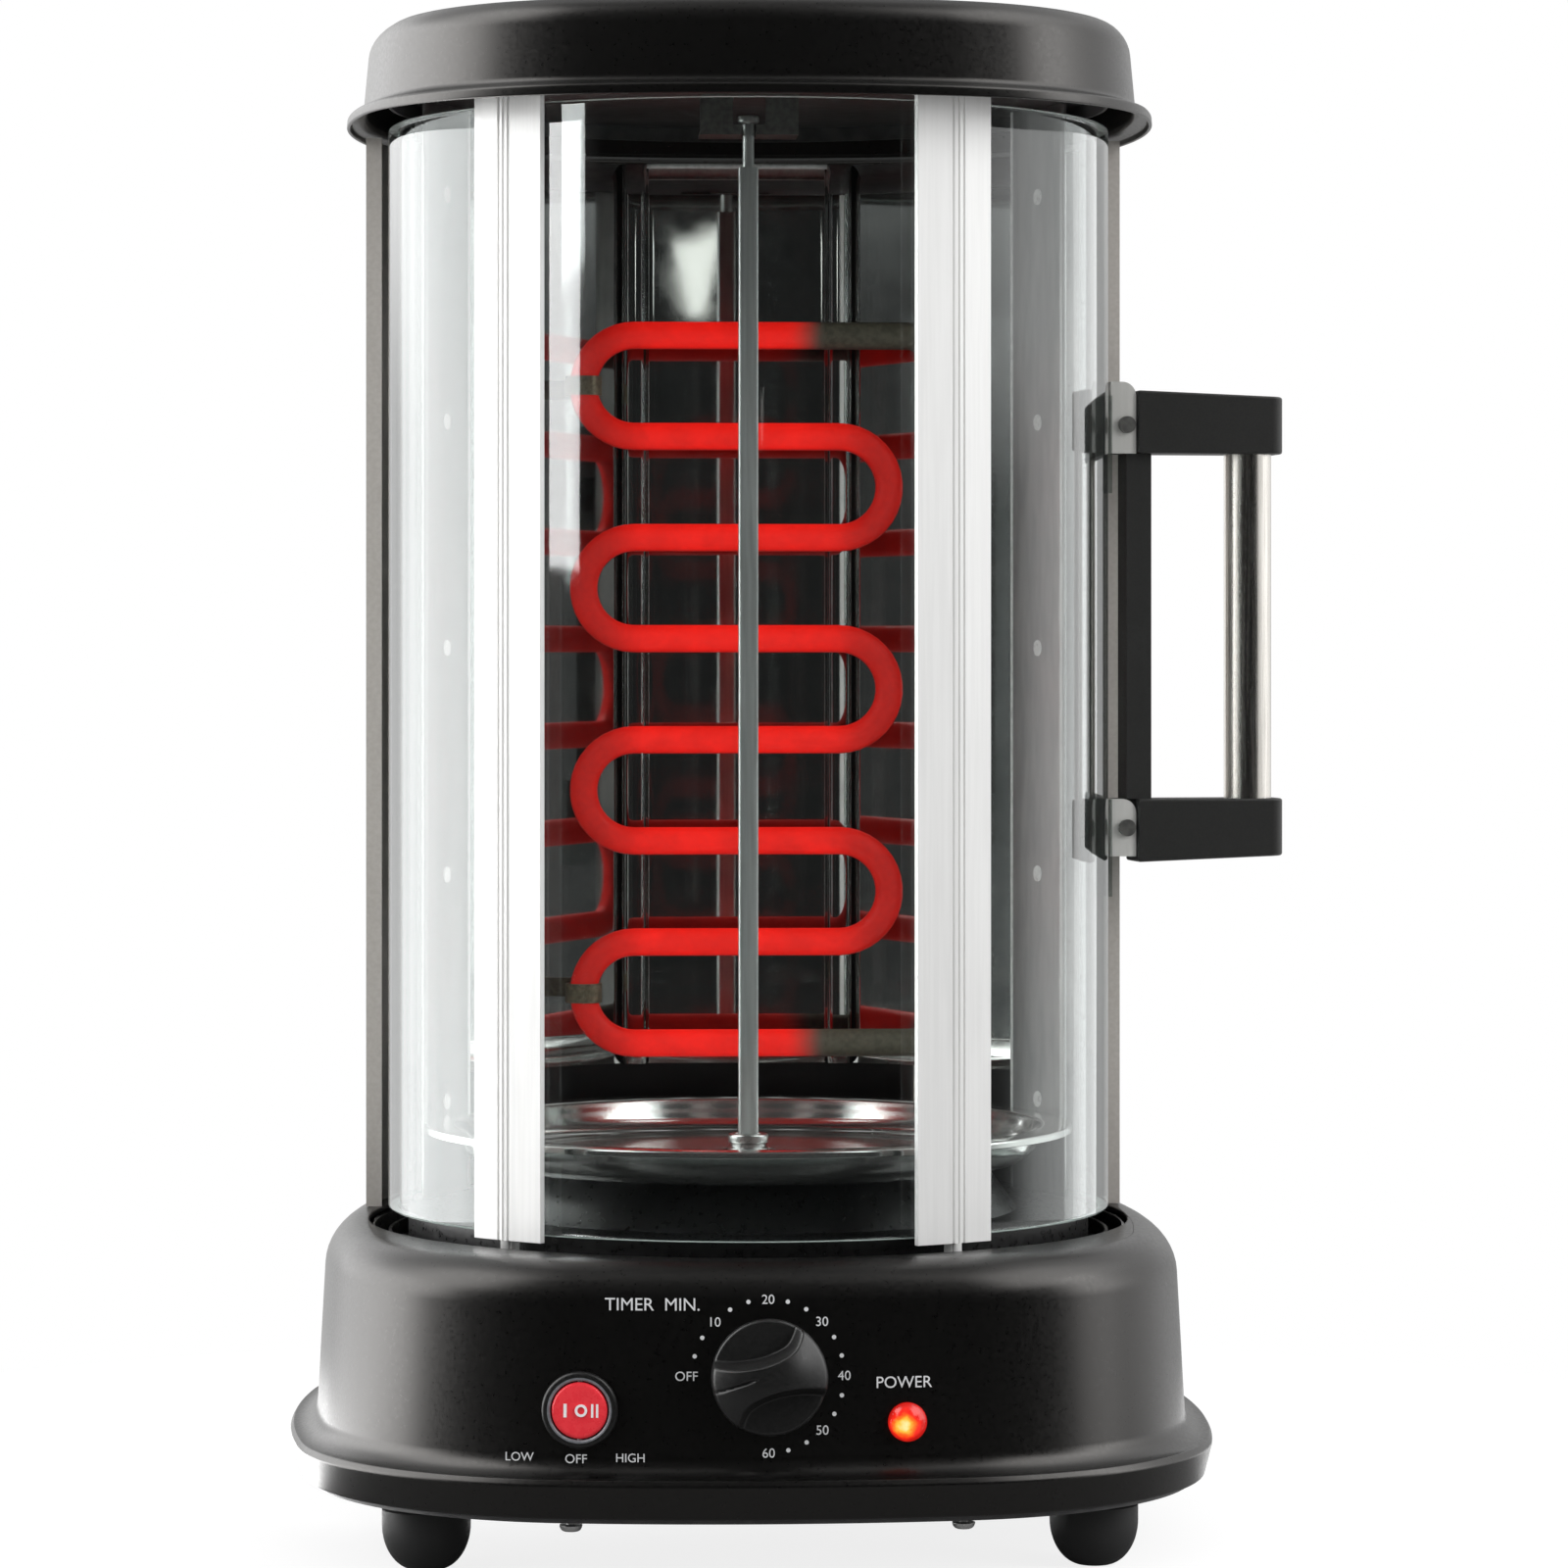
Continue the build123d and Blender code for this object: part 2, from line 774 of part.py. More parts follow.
def cold_end(x, height):
    end_y = panel_depth(x) + cold_tail
    straight = x - cold_bend
    bend_share = math.sin(math.radians(half_turn / 4))
    middle = (straight + cold_bend * bend_share, element_y + cold_bend * (1 - bend_share), height)
    path = Wire([
        Line((cold_start, element_y, height), (straight, element_y, height)),
        ThreePointArc((straight, element_y, height), middle, (x, element_y + cold_bend, height)),
        Line((x, element_y + cold_bend, height), (x, end_y, height)),
    ])
    start = Plane(origin=(cold_start, element_y, height), z_dir=(1, 0, 0))
    tube = sweep(start * Circle(element_radius), path=path)
    stud_end = lead_depth(x) + lead_radius
    return tube + rod((x, end_y - overrun, height), (x, stud_end, height), stud_radius)


def element_cold_ends():
    upper = cold_end(upper_cold_x, element_top)
    return Compound(children=[upper, cold_end(lower_cold_x, element_bottom)])


def element_clips():
    bend_x = element_left - element_pitch / 2
    inner = element_radius + clip_ring_gap
    leg_end = panel_depth(-bend_x + clip_leg_wall / 2)
    clips = []
    for height in (element_top - element_pitch / 2, element_bottom + element_pitch / 2):
        low = height - clip_ring_height / 2
        high = height + clip_ring_height / 2
        loop = Pos(bend_x, element_y, 0) * ring(inner + clip_ring_wall, inner, low, high)
        leg_start = (bend_x - clip_leg_wall / 2, element_y + inner + clip_ring_wall / 2, low)
        clips.append(loop + block(leg_start, (bend_x + clip_leg_wall / 2, leg_end, high)))
    return Compound(children=clips)


def lead_depth(x):
    """Depth of the lead that runs down behind the reflector at x, clear of the drip tray."""
    return math.sqrt(lead_circle ** 2 - x ** 2)


def element_leads():
    top = rim_low + block_height
    leads = []
    for x, height in ((upper_cold_x, element_top), (lower_cold_x, element_bottom)):
        leads.append(Pos(x, lead_depth(x), 0) * disc(lead_radius, top, height - stud_radius))
    return Compound(children=leads)


def terminal_block():
    low = (block_x - block_length / 2, block_y - block_width / 2, rim_low)
    return block(low, (block_x + block_length / 2, block_y + block_width / 2, rim_low + block_height))


# Drive

def motor_screw_places():
    return (-bracket_span - bracket_ear / 2, bracket_span + bracket_ear / 2)


def gearmotor_body():
    body = disc(motor_radius, motor_low, motor_high) + disc(boss_radius, motor_high, motor_high + boss_height)
    return body - disc(shaft_radius + running_gap, shaft_low - seat_gap, motor_high + boss_height + overrun)


def motor_bracket():
    deck_under = plateau_level - sheet
    span, depth = bracket_span, bracket_depth
    bracket = block((-span, -depth, motor_high), (span, depth, motor_high + sheet))
    bracket -= disc(boss_radius + seat_gap, motor_high - overrun, deck_under)
    for side in (-1, 1):
        leg = block((span - sheet, -depth, motor_high), (span, depth, deck_under))
        leg += block((span - sheet, -depth, deck_under - sheet), (span + bracket_ear, depth, deck_under))
        hole = disc(motor_screw_radius + running_gap, motor_high, deck_under + overrun)
        leg -= Pos(motor_screw_places()[1], 0, 0) * hole
        bracket += leg if side > 0 else mirrored(leg)
    return bracket


def motor_screws():
    seat = plateau_level - 2 * sheet
    screw = disc(motor_head_radius, seat - motor_head_height, seat)
    screw += disc(motor_screw_radius, seat - motor_head_height / 2, plateau_level - running_gap)
    return Compound(children=[Pos(x, 0, 0) * screw for x in motor_screw_places()])


def drive_hub():
    hub = disc(hub_radius, hub_low, hub_high) + disc(shaft_radius, shaft_low, hub_high - socket_depth)
    socket = spit_width + 2 * socket_gap
    floor = hub_high - socket_depth
    corner = (-socket / 2, -socket / 2, floor)
    return hub - block(corner, (socket / 2, socket / 2, hub_high + overrun))


def spit():
    foot_level = hub_high - socket_depth + seat_gap
    half = spit_width / 2
    bar = block((-half, -half, foot_level), (half, half, spit_shoulder))
    return bar + disc(neck_radius, spit_shoulder, head_high) + disc(head_radius, head_low, head_high)


def drip_tray():
    top = tray_floor + thin_sheet
    rim_under = tray_rim_level - thin_sheet
    rim_start = tray_rim - tray_rim_width
    return turned([
        (tray_hole, tray_floor),
        (tray_floor_radius, tray_floor),
        (rim_start, rim_under),
        (tray_rim - thin_sheet, rim_under),
        (tray_rim - thin_sheet, tray_rim_level - tray_curl),
        (tray_rim, tray_rim_level - tray_curl),
        (tray_rim, tray_rim_level),
        (rim_start - thin_sheet / 2, tray_rim_level),
        (tray_floor_radius - thin_sheet / 2, top),
        (tray_hole + thin_sheet, top),
        (tray_hole + thin_sheet, tray_floor + tray_collar),
        (tray_hole, tray_floor + tray_collar),
    ])


# Glass ring

def pane(start, stop):
    return sector(glass_outer, glass_inner, start, stop, glass_low, glass_high)


def strip_right():
    """Joining strip at the right seam, with its wide half towards the middle pane."""
    def at(radius, angle):
        return (radius * math.sin(math.radians(angle)), -radius * math.cos(math.radians(angle)))

    turns = (-strip_inner_angle, 0, strip_outer_angle)
    face = [at(strip_face, turn) for turn in turns]
    back = [at(strip_face - strip_wall, turn) for turn in reversed(turns)]
    strip = prism(face + back, strip_low, strip_high)
    web_top = strip_face - strip_wall / 2
    strip += block((-web_half, -web_top, strip_low), (web_half, -web_reach, strip_high))
    for x in (-groove_pitch, 0, groove_pitch):
        low = (x - groove_width / 2, -strip_face - overrun, strip_low - overrun)
        floor = -strip_face + groove_depth + abs(x) * math.sin(math.radians(strip_inner_angle / 2))
        strip -= block(low, (x + groove_width / 2, floor, strip_high + overrun))
    return strip


def strip_seal():
    return sector(glass_outer, glass_inner, -seal_angle, -seal_start_angle, glass_low, glass_high)


def inner_strip():
    inner = inner_strip_outer - inner_strip_wall
    start, stop = -inner_strip_front_angle, inner_strip_back_angle
    return sector(inner_strip_outer, inner, start, stop, glass_low, glass_high)


def end_stile():
    stop = ring_left_end_angle - pane_gap_angle
    return sector(stile_outer, stile_inner, stop - stile_angle, stop, strip_low, strip_high)


def guide_pins(low, high):
    stile_middle = ring_left_end_angle - pane_gap_angle - stile_angle / 2
    pins = []
    for angle in (stile_middle, left_seam_angle, right_seam_angle):
        for radius in (inner_pin_center, outer_pin_center):
            pins.append(turn_to(angle, Pos(0, -radius, 0) * disc(pin_radius, low, high)))
    return Compound(children=pins)


# Handle, made at the front and turned to its place

def handle_arm(low, root_side):
    """Arm of the handle. Its root grows on the side away from the grip."""
    high = low + arm_height
    root_low = low - arm_root_rise if root_side < 0 else low
    root_high = high + arm_root_rise if root_side > 0 else high
    points = [(arm_start, root_low), (arm_tip, low), (arm_tip, high), (arm_start, root_high)]
    side_view = Plane(origin=(-arm_half, 0, 0), x_dir=(0, -1, 0), z_dir=(-1, 0, 0))
    arm = extrude(side_view * Polygon(*points, align=None), amount=-2 * arm_half)
    arm = fillet(arm.edges().filter_by(Axis.Z).group_by(Axis.Y)[0], arm_round)
    arm = fillet(arm.edges().filter_by(Axis.X).group_by(Axis.Y)[0], arm_edge_round)
    root = block((-arm_root_half, -arm_start - overrun, low), (arm_root_half, -arm_root, high))
    across = clip_half + overrun
    middle = low + arm_height / 2
    hole = rod(
        (-across, -clip_screw_center, middle), (across, -clip_screw_center, middle),
        clip_screw_radius + running_gap,
    )
    return turn_to(handle_angle, arm + (root - hole))


def handle_tube():
    low = lower_arm_low + arm_height
    tube = ring(grip_radius, grip_radius - grip_wall, low, upper_arm_low)
    return turn_to(handle_angle, Pos(0, -grip_center, 0) * tube)


def handle_back_bar():
    low = lower_arm_low + arm_height
    bar = block((-bar_half, -bar_outer, low), (bar_half, -bar_inner, upper_arm_low))
    return turn_to(handle_angle, bar)


def handle_pads():
    pads = []
    for low in (lower_arm_low, upper_arm_low):
        high = low + arm_height
        pad = block((-pad_half, -pad_inner - pad_wall, high - pad_height), (pad_half, -pad_inner, high))
        pads.append(turn_to(handle_angle, pad))
    return Compound(children=pads)


def handle_clips():
    clips = []
    for low, rise in ((lower_arm_low, 0), (upper_arm_low, clip_rise)):
        top = low + arm_height + rise
        clip = block((-clip_half, -clip_reach, low), (clip_half, -clip_back, top))
        clip = fillet(clip.edges().filter_by(Axis.X).group_by(Axis.Z)[-1].sort_by(Axis.Y)[0], clip_rise)
        hollow_half = clip_half - clip_wall
        hollow = (-hollow_half, -clip_reach - overrun, low - overrun)
        clip -= block(hollow, (hollow_half, -clip_back - clip_back_wall, top + overrun))
        middle = low + arm_height / 2
        across = clip_half + overrun
        clip -= rod(
            (-across, -clip_screw_center, middle), (across, -clip_screw_center, middle),
            clip_screw_radius + running_gap,
        )
        clips.append(turn_to(handle_angle, clip))
    return Compound(children=clips)


def handle_screws():
    screws = []
    for low in (lower_arm_low, upper_arm_low):
        middle = low + arm_height / 2
        seat = (-clip_half, -clip_screw_center, middle)
        head_end = (-clip_half - clip_head_height, -clip_screw_center, middle)
        shank_start = (-clip_half - clip_head_height / 2, -clip_screw_center, middle)
        shank_end = (clip_half, -clip_screw_center, middle)
        screw = rod(head_end, seat, clip_head_radius) + rod(shank_start, shank_end, clip_screw_radius)
        screws.append(turn_to(handle_angle, screw))
    return Compound(children=screws)


# Controls, made on planes that lie on the base's front wall

def timer_knob():
    disc_top = knob_gap + knob_disc
    knob = disc(knob_radius, knob_gap, disc_top)
    knob = fillet(knob.edges().group_by(Axis.Z)[-1], knob_disc / 4)
    grip_plan = Pos(0, 0, disc_top - overrun) * SlotOverall(grip_length, grip_thick)
    grip = extrude(grip_plan, amount=grip_rise + overrun)
    grip = fillet(grip.edges().group_by(Axis.Z)[-1], grip_edge_round)
    shaft = disc(timer_shaft_radius, -timer_shaft_back, knob_gap + overrun)
    return knob_plane * (knob + grip + shaft)


def timer_body():
    front = -timer_setback
    half = (timer_width / 2, timer_tall / 2)
    body = block((-half[0], -half[1], front - timer_deep), (half[0], half[1], front))
    body += disc(timer_neck_radius, front - overrun, timer_neck_length)
    bore = disc(timer_shaft_radius + running_gap, -timer_shaft_back - seat_gap, knob_gap)
    return knob_plane * (body - bore)


def timer_nut():
    nut = extrude(RegularPolygon(timer_nut_radius, 6), amount=timer_nut_height)
    nut -= disc(timer_neck_radius + running_gap, -overrun, knob_gap)
    return knob_plane * nut


def switch_pivot():
    return switch_plane * rod((0, -pivot_half, rocker_center), (0, pivot_half, rocker_center), pivot_radius)


def switch_bezel():
    bezel = disc(bezel_radius, 0, bezel_rise)
    bezel = fillet(bezel.edges().group_by(Axis.Z)[-1], bezel_rise / 3)
    bezel += disc(switch_neck, -switch_neck_length, overrun)
    bezel -= disc(bezel_hole, -switch_neck_length - overrun, bezel_rise + overrun)
    return switch_plane * bezel - switch_pivot()


def switch_body():
    return switch_plane * disc(switch_neck, -switch_neck_length - switch_body_length, -switch_neck_length)


def switch_rocker():
    middle = Pos(0, 0, rocker_center)
    slab = disc(rocker_radius + overrun, -rocker_back, rocker_front)
    rocker = middle * (Sphere(rocker_radius) & slab)
    across = rocker_radius + overrun
    rocker -= rod((0, -across, rocker_center), (0, across, rocker_center), pivot_radius + running_gap)
    return switch_plane * rocker


def lamp_lens():
    top = lamp_flange + lamp_dome
    dome_radius = (lamp_radius ** 2 + lamp_dome ** 2) / (2 * lamp_dome)
    dome = Pos(0, 0, top - dome_radius) * Sphere(dome_radius)
    lens = disc(lamp_radius, 0, lamp_flange + overrun)
    lens = disc(lamp_radius, 0, top) & (dome + lens)
    return lamp_plane * (lens + disc(lamp_neck, -lamp_neck_length, overrun))


def cord_gland():
    end = gland_y + gland_flange
    start = gland_y - gland_neck_length
    gland = rod((0, gland_y + running_gap, gland_height), (0, end, gland_height), gland_radius)
    gland += rod((0, start, gland_height), (0, end, gland_height), gland_neck)
    return gland - rod((0, start - overrun, gland_height), (0, end + overrun, gland_height), gland_bore)


def build_nodes():
    """Every node's name with its solids."""
    nodes = {
        "base_shell": base_shell(),
        "base_plate": base_plate(),
        "base_screws": base_screws(),
        "deck_pan": deck_pan(),
        "deck_bush": deck_bush(),
        "lid_shell": lid_shell(),
        "lid_liner": lid_liner(),
        "spit_bracket": spit_bracket(),
        "rear_cover": rear_cover(),
        "rear_cover_screws": rear_cover_screws(),
        "post_right": post_right(),
        "post_left": mirrored(post_right()),
        "reflector_back": reflector_back(),
        "reflector_side_right": reflector_side_right(),
        "reflector_side_left": mirrored(reflector_side_right()),
        "reflector_screws": reflector_screws(),
        "heating_element": heating_element(),
        "element_cold_ends": element_cold_ends(),
        "element_clips": element_clips(),
        "element_leads": element_leads(),
        "terminal_block": terminal_block(),
        "gearmotor_body": gearmotor_body(),
        "motor_bracket": motor_bracket(),
        "motor_screws": motor_screws(),
        "drive_hub": drive_hub(),
        "spit": spit(),
        "drip_tray": drip_tray(),
        "timer_knob": timer_knob(),
        "timer_body": timer_body(),
        "timer_nut": timer_nut(),
        "switch_pivot": switch_pivot(),
        "switch_bezel": switch_bezel(),
        "switch_body": switch_body(),
        "switch_rocker": switch_rocker(),
        "lamp_lens": lamp_lens(),
        "cord_gland": cord_gland(),
        "end_stile": end_stile(),
        "guide_pins_lower": guide_pins(moat_floor + seat_gap, strip_low),
        "guide_pins_upper": guide_pins(strip_high, liner_under - seat_gap),
        "handle_arm_upper": handle_arm(upper_arm_low, 1),
        "handle_arm_lower": handle_arm(lower_arm_low, -1),
        "handle_tube": handle_tube(),
        "handle_back_bar": handle_back_bar(),
        "handle_pads": handle_pads(),
        "handle_clips": handle_clips(),
        "handle_screws": handle_screws(),
    }
    foot_x, foot_y = plan_point(base_plan, foot_inset, foot_angle)
    for row, y in (("front", -foot_y), ("rear", foot_y)):
        for side, x in (("left", -foot_x), ("right", foot_x)):
            nodes[f"foot_{row}_{side}"] = Pos(x, y, 0) * foot()
    middle_edge = seal_angle + pane_gap_angle
    nodes["pane_left"] = pane(ring_left_end_angle, left_seam_angle - pane_tuck_angle)
    nodes["pane_centre"] = pane(left_seam_angle + middle_edge, right_seam_angle - middle_edge)
    nodes["pane_right"] = pane(right_seam_angle + pane_tuck_angle, ring_right_end_angle)
    for name, piece in (("strip", strip_right()), ("seal", strip_seal()), ("inner_strip", inner_strip())):
        nodes[f"{name}_right"] = turn_to(right_seam_angle, piece)
        nodes[f"{name}_left"] = turn_to(left_seam_angle, mirrored(piece))
    return nodes


os.makedirs("parts", exist_ok=True)
for name, piece in build_nodes().items():
    export_step(piece, f"parts/{name}.step")
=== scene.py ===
"""Looks of an upright kebab grill: painted shells, a turning ring of glass and a glowing element.

Sizes are millimetres in the grill's own frame: +Z is up, the front faces -Y and the spit is the Z axis.
Angles round the spit are degrees that start at the front and grow towards +X.
"""

import logging
import math
from dataclasses import dataclass, field
from enum import Enum
from typing import Any, Sequence

import bmesh
import bpy
import numpy as np
from mathutils import Matrix, Vector

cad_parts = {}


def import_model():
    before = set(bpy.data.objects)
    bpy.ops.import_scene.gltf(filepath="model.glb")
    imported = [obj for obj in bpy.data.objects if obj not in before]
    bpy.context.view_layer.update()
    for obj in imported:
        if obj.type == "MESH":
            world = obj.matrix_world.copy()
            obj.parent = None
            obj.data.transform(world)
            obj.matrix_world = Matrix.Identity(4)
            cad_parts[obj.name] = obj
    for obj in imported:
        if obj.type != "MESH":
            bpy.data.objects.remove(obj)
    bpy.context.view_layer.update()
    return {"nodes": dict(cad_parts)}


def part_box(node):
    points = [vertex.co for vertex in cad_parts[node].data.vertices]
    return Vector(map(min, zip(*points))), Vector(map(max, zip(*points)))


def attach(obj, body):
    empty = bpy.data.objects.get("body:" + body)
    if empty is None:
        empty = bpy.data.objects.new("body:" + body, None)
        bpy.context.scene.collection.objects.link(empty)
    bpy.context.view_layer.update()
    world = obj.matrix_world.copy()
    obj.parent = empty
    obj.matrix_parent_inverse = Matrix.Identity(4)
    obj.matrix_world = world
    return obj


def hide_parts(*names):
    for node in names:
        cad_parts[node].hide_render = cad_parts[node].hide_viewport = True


log = logging.getLogger("grill")

Array = np.ndarray
Pair = tuple[float, float]
Triple = tuple[float, float, float]
Pairs = tuple[Pair, ...]
Color = Triple
Corner = Triple

# Metres in a millimetre, and millimetres within which points are one.
MM = 0.001
WELD = 0.0005
# Degrees: the least edge that a bevel rounds, and the half corner that counts as straight.
BEVEL_ANGLE = 40.0
STRAIGHT = 89.0
# Height of a capital as a share of the typeface's size, and width of the camera's film in millimetres.
CAP_SHARE = 0.69
FILM = 36.0
# Numbers of a mix node's two colours and of its mixed colour.
MIX_COLORS = (6, 7)
MIX_RESULT = 2


class Body(Enum):
    """Moving bodies of the grill."""

    HOUSING = "housing"
    GLASS_RING = "glass_ring"
    DRIVE = "drive"
    SKEWER = "skewer"
    TRAY = "tray"
    KNOB = "knob"
    ROCKER = "rocker"


class Slot(Enum):
    """Material slots of the record."""

    BLACK_PAINT = "black_paint"
    POLISHED_STEEL = "polished_steel"
    FASTENER_STEEL = "fastener_steel"
    ELEMENT_HOT = "element_hot"
    WHITE_PLASTIC = "white_plastic"
    BLACK_PLASTIC = "black_plastic"
    RED_PLASTIC = "red_plastic"
    RED_LAMP = "red_lamp"
    RUBBER_BLACK = "rubber_black"
    CLEAR_GLASS = "clear_glass"
    SATIN_ALUMINIUM = "satin_aluminium"
    BRUSHED_TUBE = "brushed_tube"


class LampUse(Enum):
    """Surfaces that a lamp serves."""

    MATT = "matt"
    SHINE = "shine"


# Surfaces


@dataclass
class Patch:
    """Part of a mesh: points in millimetres, quads between them and many-sided faces."""

    points: Array
    quads: Array
    caps: list[list[int]] = field(default_factory=list)

    def moved(self, points: Array) -> "Patch":
        """The same faces over other points."""
        return Patch(points.reshape(-1, 3), self.quads, self.caps)

    def shifted(self, *offset: float) -> "Patch":
        """The same faces, moved by an offset."""
        return self.moved(self.points + np.array(offset))


def grid_patch(grid: Array, wrap_rows: bool = False, wrap_cols: bool = False, capped: bool = False) -> Patch:
    """Quads between the neighbours of a grid of points.

    Args:
        grid: Points, as rows by columns by three.
        wrap_rows: Joins the last row to the first.
        wrap_cols: Joins the last column to the first.
        capped: Closes the first and the last row with one face each.

    Returns:
        The patch.
    """
    rows, cols = grid.shape[:2]
    index = np.arange(rows * cols).reshape(rows, cols)
    near = index if wrap_rows else index[:-1]
    far = np.roll(index, -1, 0) if wrap_rows else index[1:]
    if wrap_cols:
        quads = np.stack([near, np.roll(near, -1, 1), np.roll(far, -1, 1), far], -1)
    else:
        quads = np.stack([near[:, :-1], near[:, 1:], far[:, 1:], far[:, :-1]], -1)
    caps = [index[0, ::-1].tolist(), index[-1].tolist()] if capped else []
    return Patch(grid.reshape(-1, 3), quads.reshape(-1, 4), caps)


def make_piece(name: str, patches: Sequence[Patch], crease: float = 35.0,
               closed: bool = True) -> bpy.types.Object:
    """Welds patches into one smooth-shaded piece at the origin.

    Args:
        name: Name of the piece.
        patches: Its patches.
        crease: Angle in degrees beyond which an edge stays sharp.
        closed: Whether the faces shut a volume in, and so are turned outwards.

    Returns:
        The new object.
    """
    offsets = np.cumsum([0] + [len(patch.points) for patch in patches])
    faces = []
    for patch, offset in zip(patches, offsets):
        faces += (patch.quads + offset).tolist()
        faces += [(np.array(cap) + offset).tolist() for cap in patch.caps]
    mesh = bpy.data.meshes.new(name)
    mesh.from_pydata((np.concatenate([patch.points for patch in patches]) * MM).tolist(), [], faces)
    work = bmesh.new()
    work.from_mesh(mesh)
    bmesh.ops.remove_doubles(work, verts=work.verts, dist=WELD * MM)
    bmesh.ops.dissolve_degenerate(work, dist=WELD * MM, edges=work.edges)
    if closed:
        bmesh.ops.recalc_face_normals(work, faces=work.faces)
    work.to_mesh(mesh)
    work.free()
    mesh.shade_smooth()
    mesh.set_sharp_from_angle(angle=math.radians(crease))
    piece = bpy.data.objects.new(name, mesh)
    bpy.context.scene.collection.objects.link(piece)
    return piece


def soften(piece: bpy.types.Object, width: float, segments: int = 3) -> None:
    """Rounds a piece's sharp edges with a bevel.

    Args:
        piece: Piece to round.
        width: Bevel width in millimetres.
        segments: Steps across the round.
    """
    bevel = piece.modifiers.new("edge_round", "BEVEL")
    bevel.width = width * MM
    bevel.segments = segments
    bevel.limit_method = "ANGLE"
    bevel.angle_limit = math.radians(BEVEL_ANGLE)
    bevel.harden_normals = True


def thicken(piece: bpy.types.Object, thickness: float, offset: float) -> None:
    """Gives a sheet its wall.

    Args:
        piece: Open sheet.
        thickness: Wall in millimetres.
        offset: -1 puts the wall behind the faces and 1 in front of them.
    """
    wall = piece.modifiers.new("sheet_wall", "SOLIDIFY")
    wall.thickness = thickness * MM
    wall.offset = offset


def rounded(corners: Sequence[Corner], closed: bool = False, steps: int = 7) -> Array:
    """Polyline with arcs for corners: each arc starts at radius / tan(half the corner) from its corner.

    Args:
        corners: Two coordinates and a radius for each corner.
        closed: Whether the last corner joins the first.
        steps: Points in each arc.

    Returns:
        Points along the line.
    """
    spots = np.array(corners, float)[:, :2]
    radii = np.array(corners, float)[:, 2]
    runs = []
    for index, (spot, radius) in enumerate(zip(spots, radii)):
        end = not closed and index in (0, len(spots) - 1)
        if end or radius == 0:
            runs.append(spot[None])
            continue
        back = spots[index - 1] - spot
        ahead = spots[(index + 1) % len(spots)] - spot
        back = back / np.linalg.norm(back)
        ahead = ahead / np.linalg.norm(ahead)
        half = math.acos(float(np.clip(back @ ahead, -1, 1))) / 2
        if half > math.radians(STRAIGHT):
            runs.append(spot[None])
            continue
        middle = (back + ahead) / np.linalg.norm(back + ahead)
        center = spot + middle * radius / math.sin(half)
        start = spot + back * radius / math.tan(half) - center
        way = np.sign(start[0] * (spot - center)[1] - start[1] * (spot - center)[0])
        swing = way * (math.pi - 2 * half) * np.linspace(0, 1, steps)
        turn = np.stack([np.cos(swing), -np.sin(swing), np.sin(swing), np.cos(swing)], -1).reshape(-1, 2, 2)
        runs.append(center + turn @ start)
    return np.concatenate(runs)


def rectangle(left: float, right: float, low: float, high: float) -> Array:
    """Corners of a rectangle, in turn."""
    return np.array([(left, low), (right, low), (right, high), (left, high)])


def revolve(profile: Array, start: float = 0.0, stop: float = 360.0, steps: int = 96,
            loop: bool = False) -> Patch:
    """Profile of radius and height carried round the Z axis: x = r sin a and y = -r cos a.

    Args:
        profile: Radius and height of each point.
        start: First angle in degrees.
        stop: Last angle in degrees.
        steps: Places along the turn.
        loop: Whether the profile's last point joins its first.

    Returns:
        The patch, closed round a full turn and capped at the ends of a part turn.
    """
    whole = stop - start >= 360
    angles = np.radians(np.linspace(start, stop, steps, endpoint=not whole))[:, None]
    radius, height = profile[None, :, 0], profile[None, :, 1]
    grid = np.stack(np.broadcast_arrays(radius * np.sin(angles), -radius * np.cos(angles), height), -1)
    return grid_patch(grid, wrap_rows=whole, wrap_cols=loop, capped=loop and not whole)


def prism(outline: Array, low: float | Array, high: float | Array) -> Patch:
    """Upright prism: the same outline at two heights, which may vary from point to point.

    Args:
        outline: Points in plan.
        low: Lower height.
        high: Upper height.

    Returns:
        The capped patch.
    """
    levels = [np.broadcast_to(level, len(outline)) for level in (low, high)]
    grid = np.stack([np.column_stack([outline, level]) for level in levels])
    return grid_patch(grid, wrap_cols=True, capped=True)


def tube(path: Array, side: Triple, radius: float, sides: int = 28) -> Patch:
    """Round tube along a flat path: p + r (cos a side + sin a (tangent x side)).

    Args:
        path: Points along the middle.
        side: Unit direction square to the plane of the path.
        radius: Tube radius.
        sides: Points round the tube.

    Returns:
        The capped patch.
    """
    along = np.gradient(path, axis=0)
    along /= np.linalg.norm(along, axis=1, keepdims=True)
    across = np.cross(along, side)
    angles = np.linspace(0, 2 * np.pi, sides, endpoint=False)[None, :, None]
    grid = path[:, None] + radius * (np.cos(angles) * np.array(side) + np.sin(angles) * across[:, None])
    return grid_patch(grid, wrap_cols=True, capped=True)


def turned(patch: Patch, angle: float) -> Patch:
    """A patch made at the front, turned round the spit by an angle in degrees."""
    spin = np.array(Matrix.Rotation(math.radians(angle), 3, "Z"))
    return patch.moved(patch.points @ spin.T)


def mirrored(patch: Patch) -> Patch:
    """The same patch on the other side of the middle."""
    points = patch.points * np.array([-1.0, 1.0, 1.0])
    return Patch(points, patch.quads[:, ::-1], [cap[::-1] for cap in patch.caps])


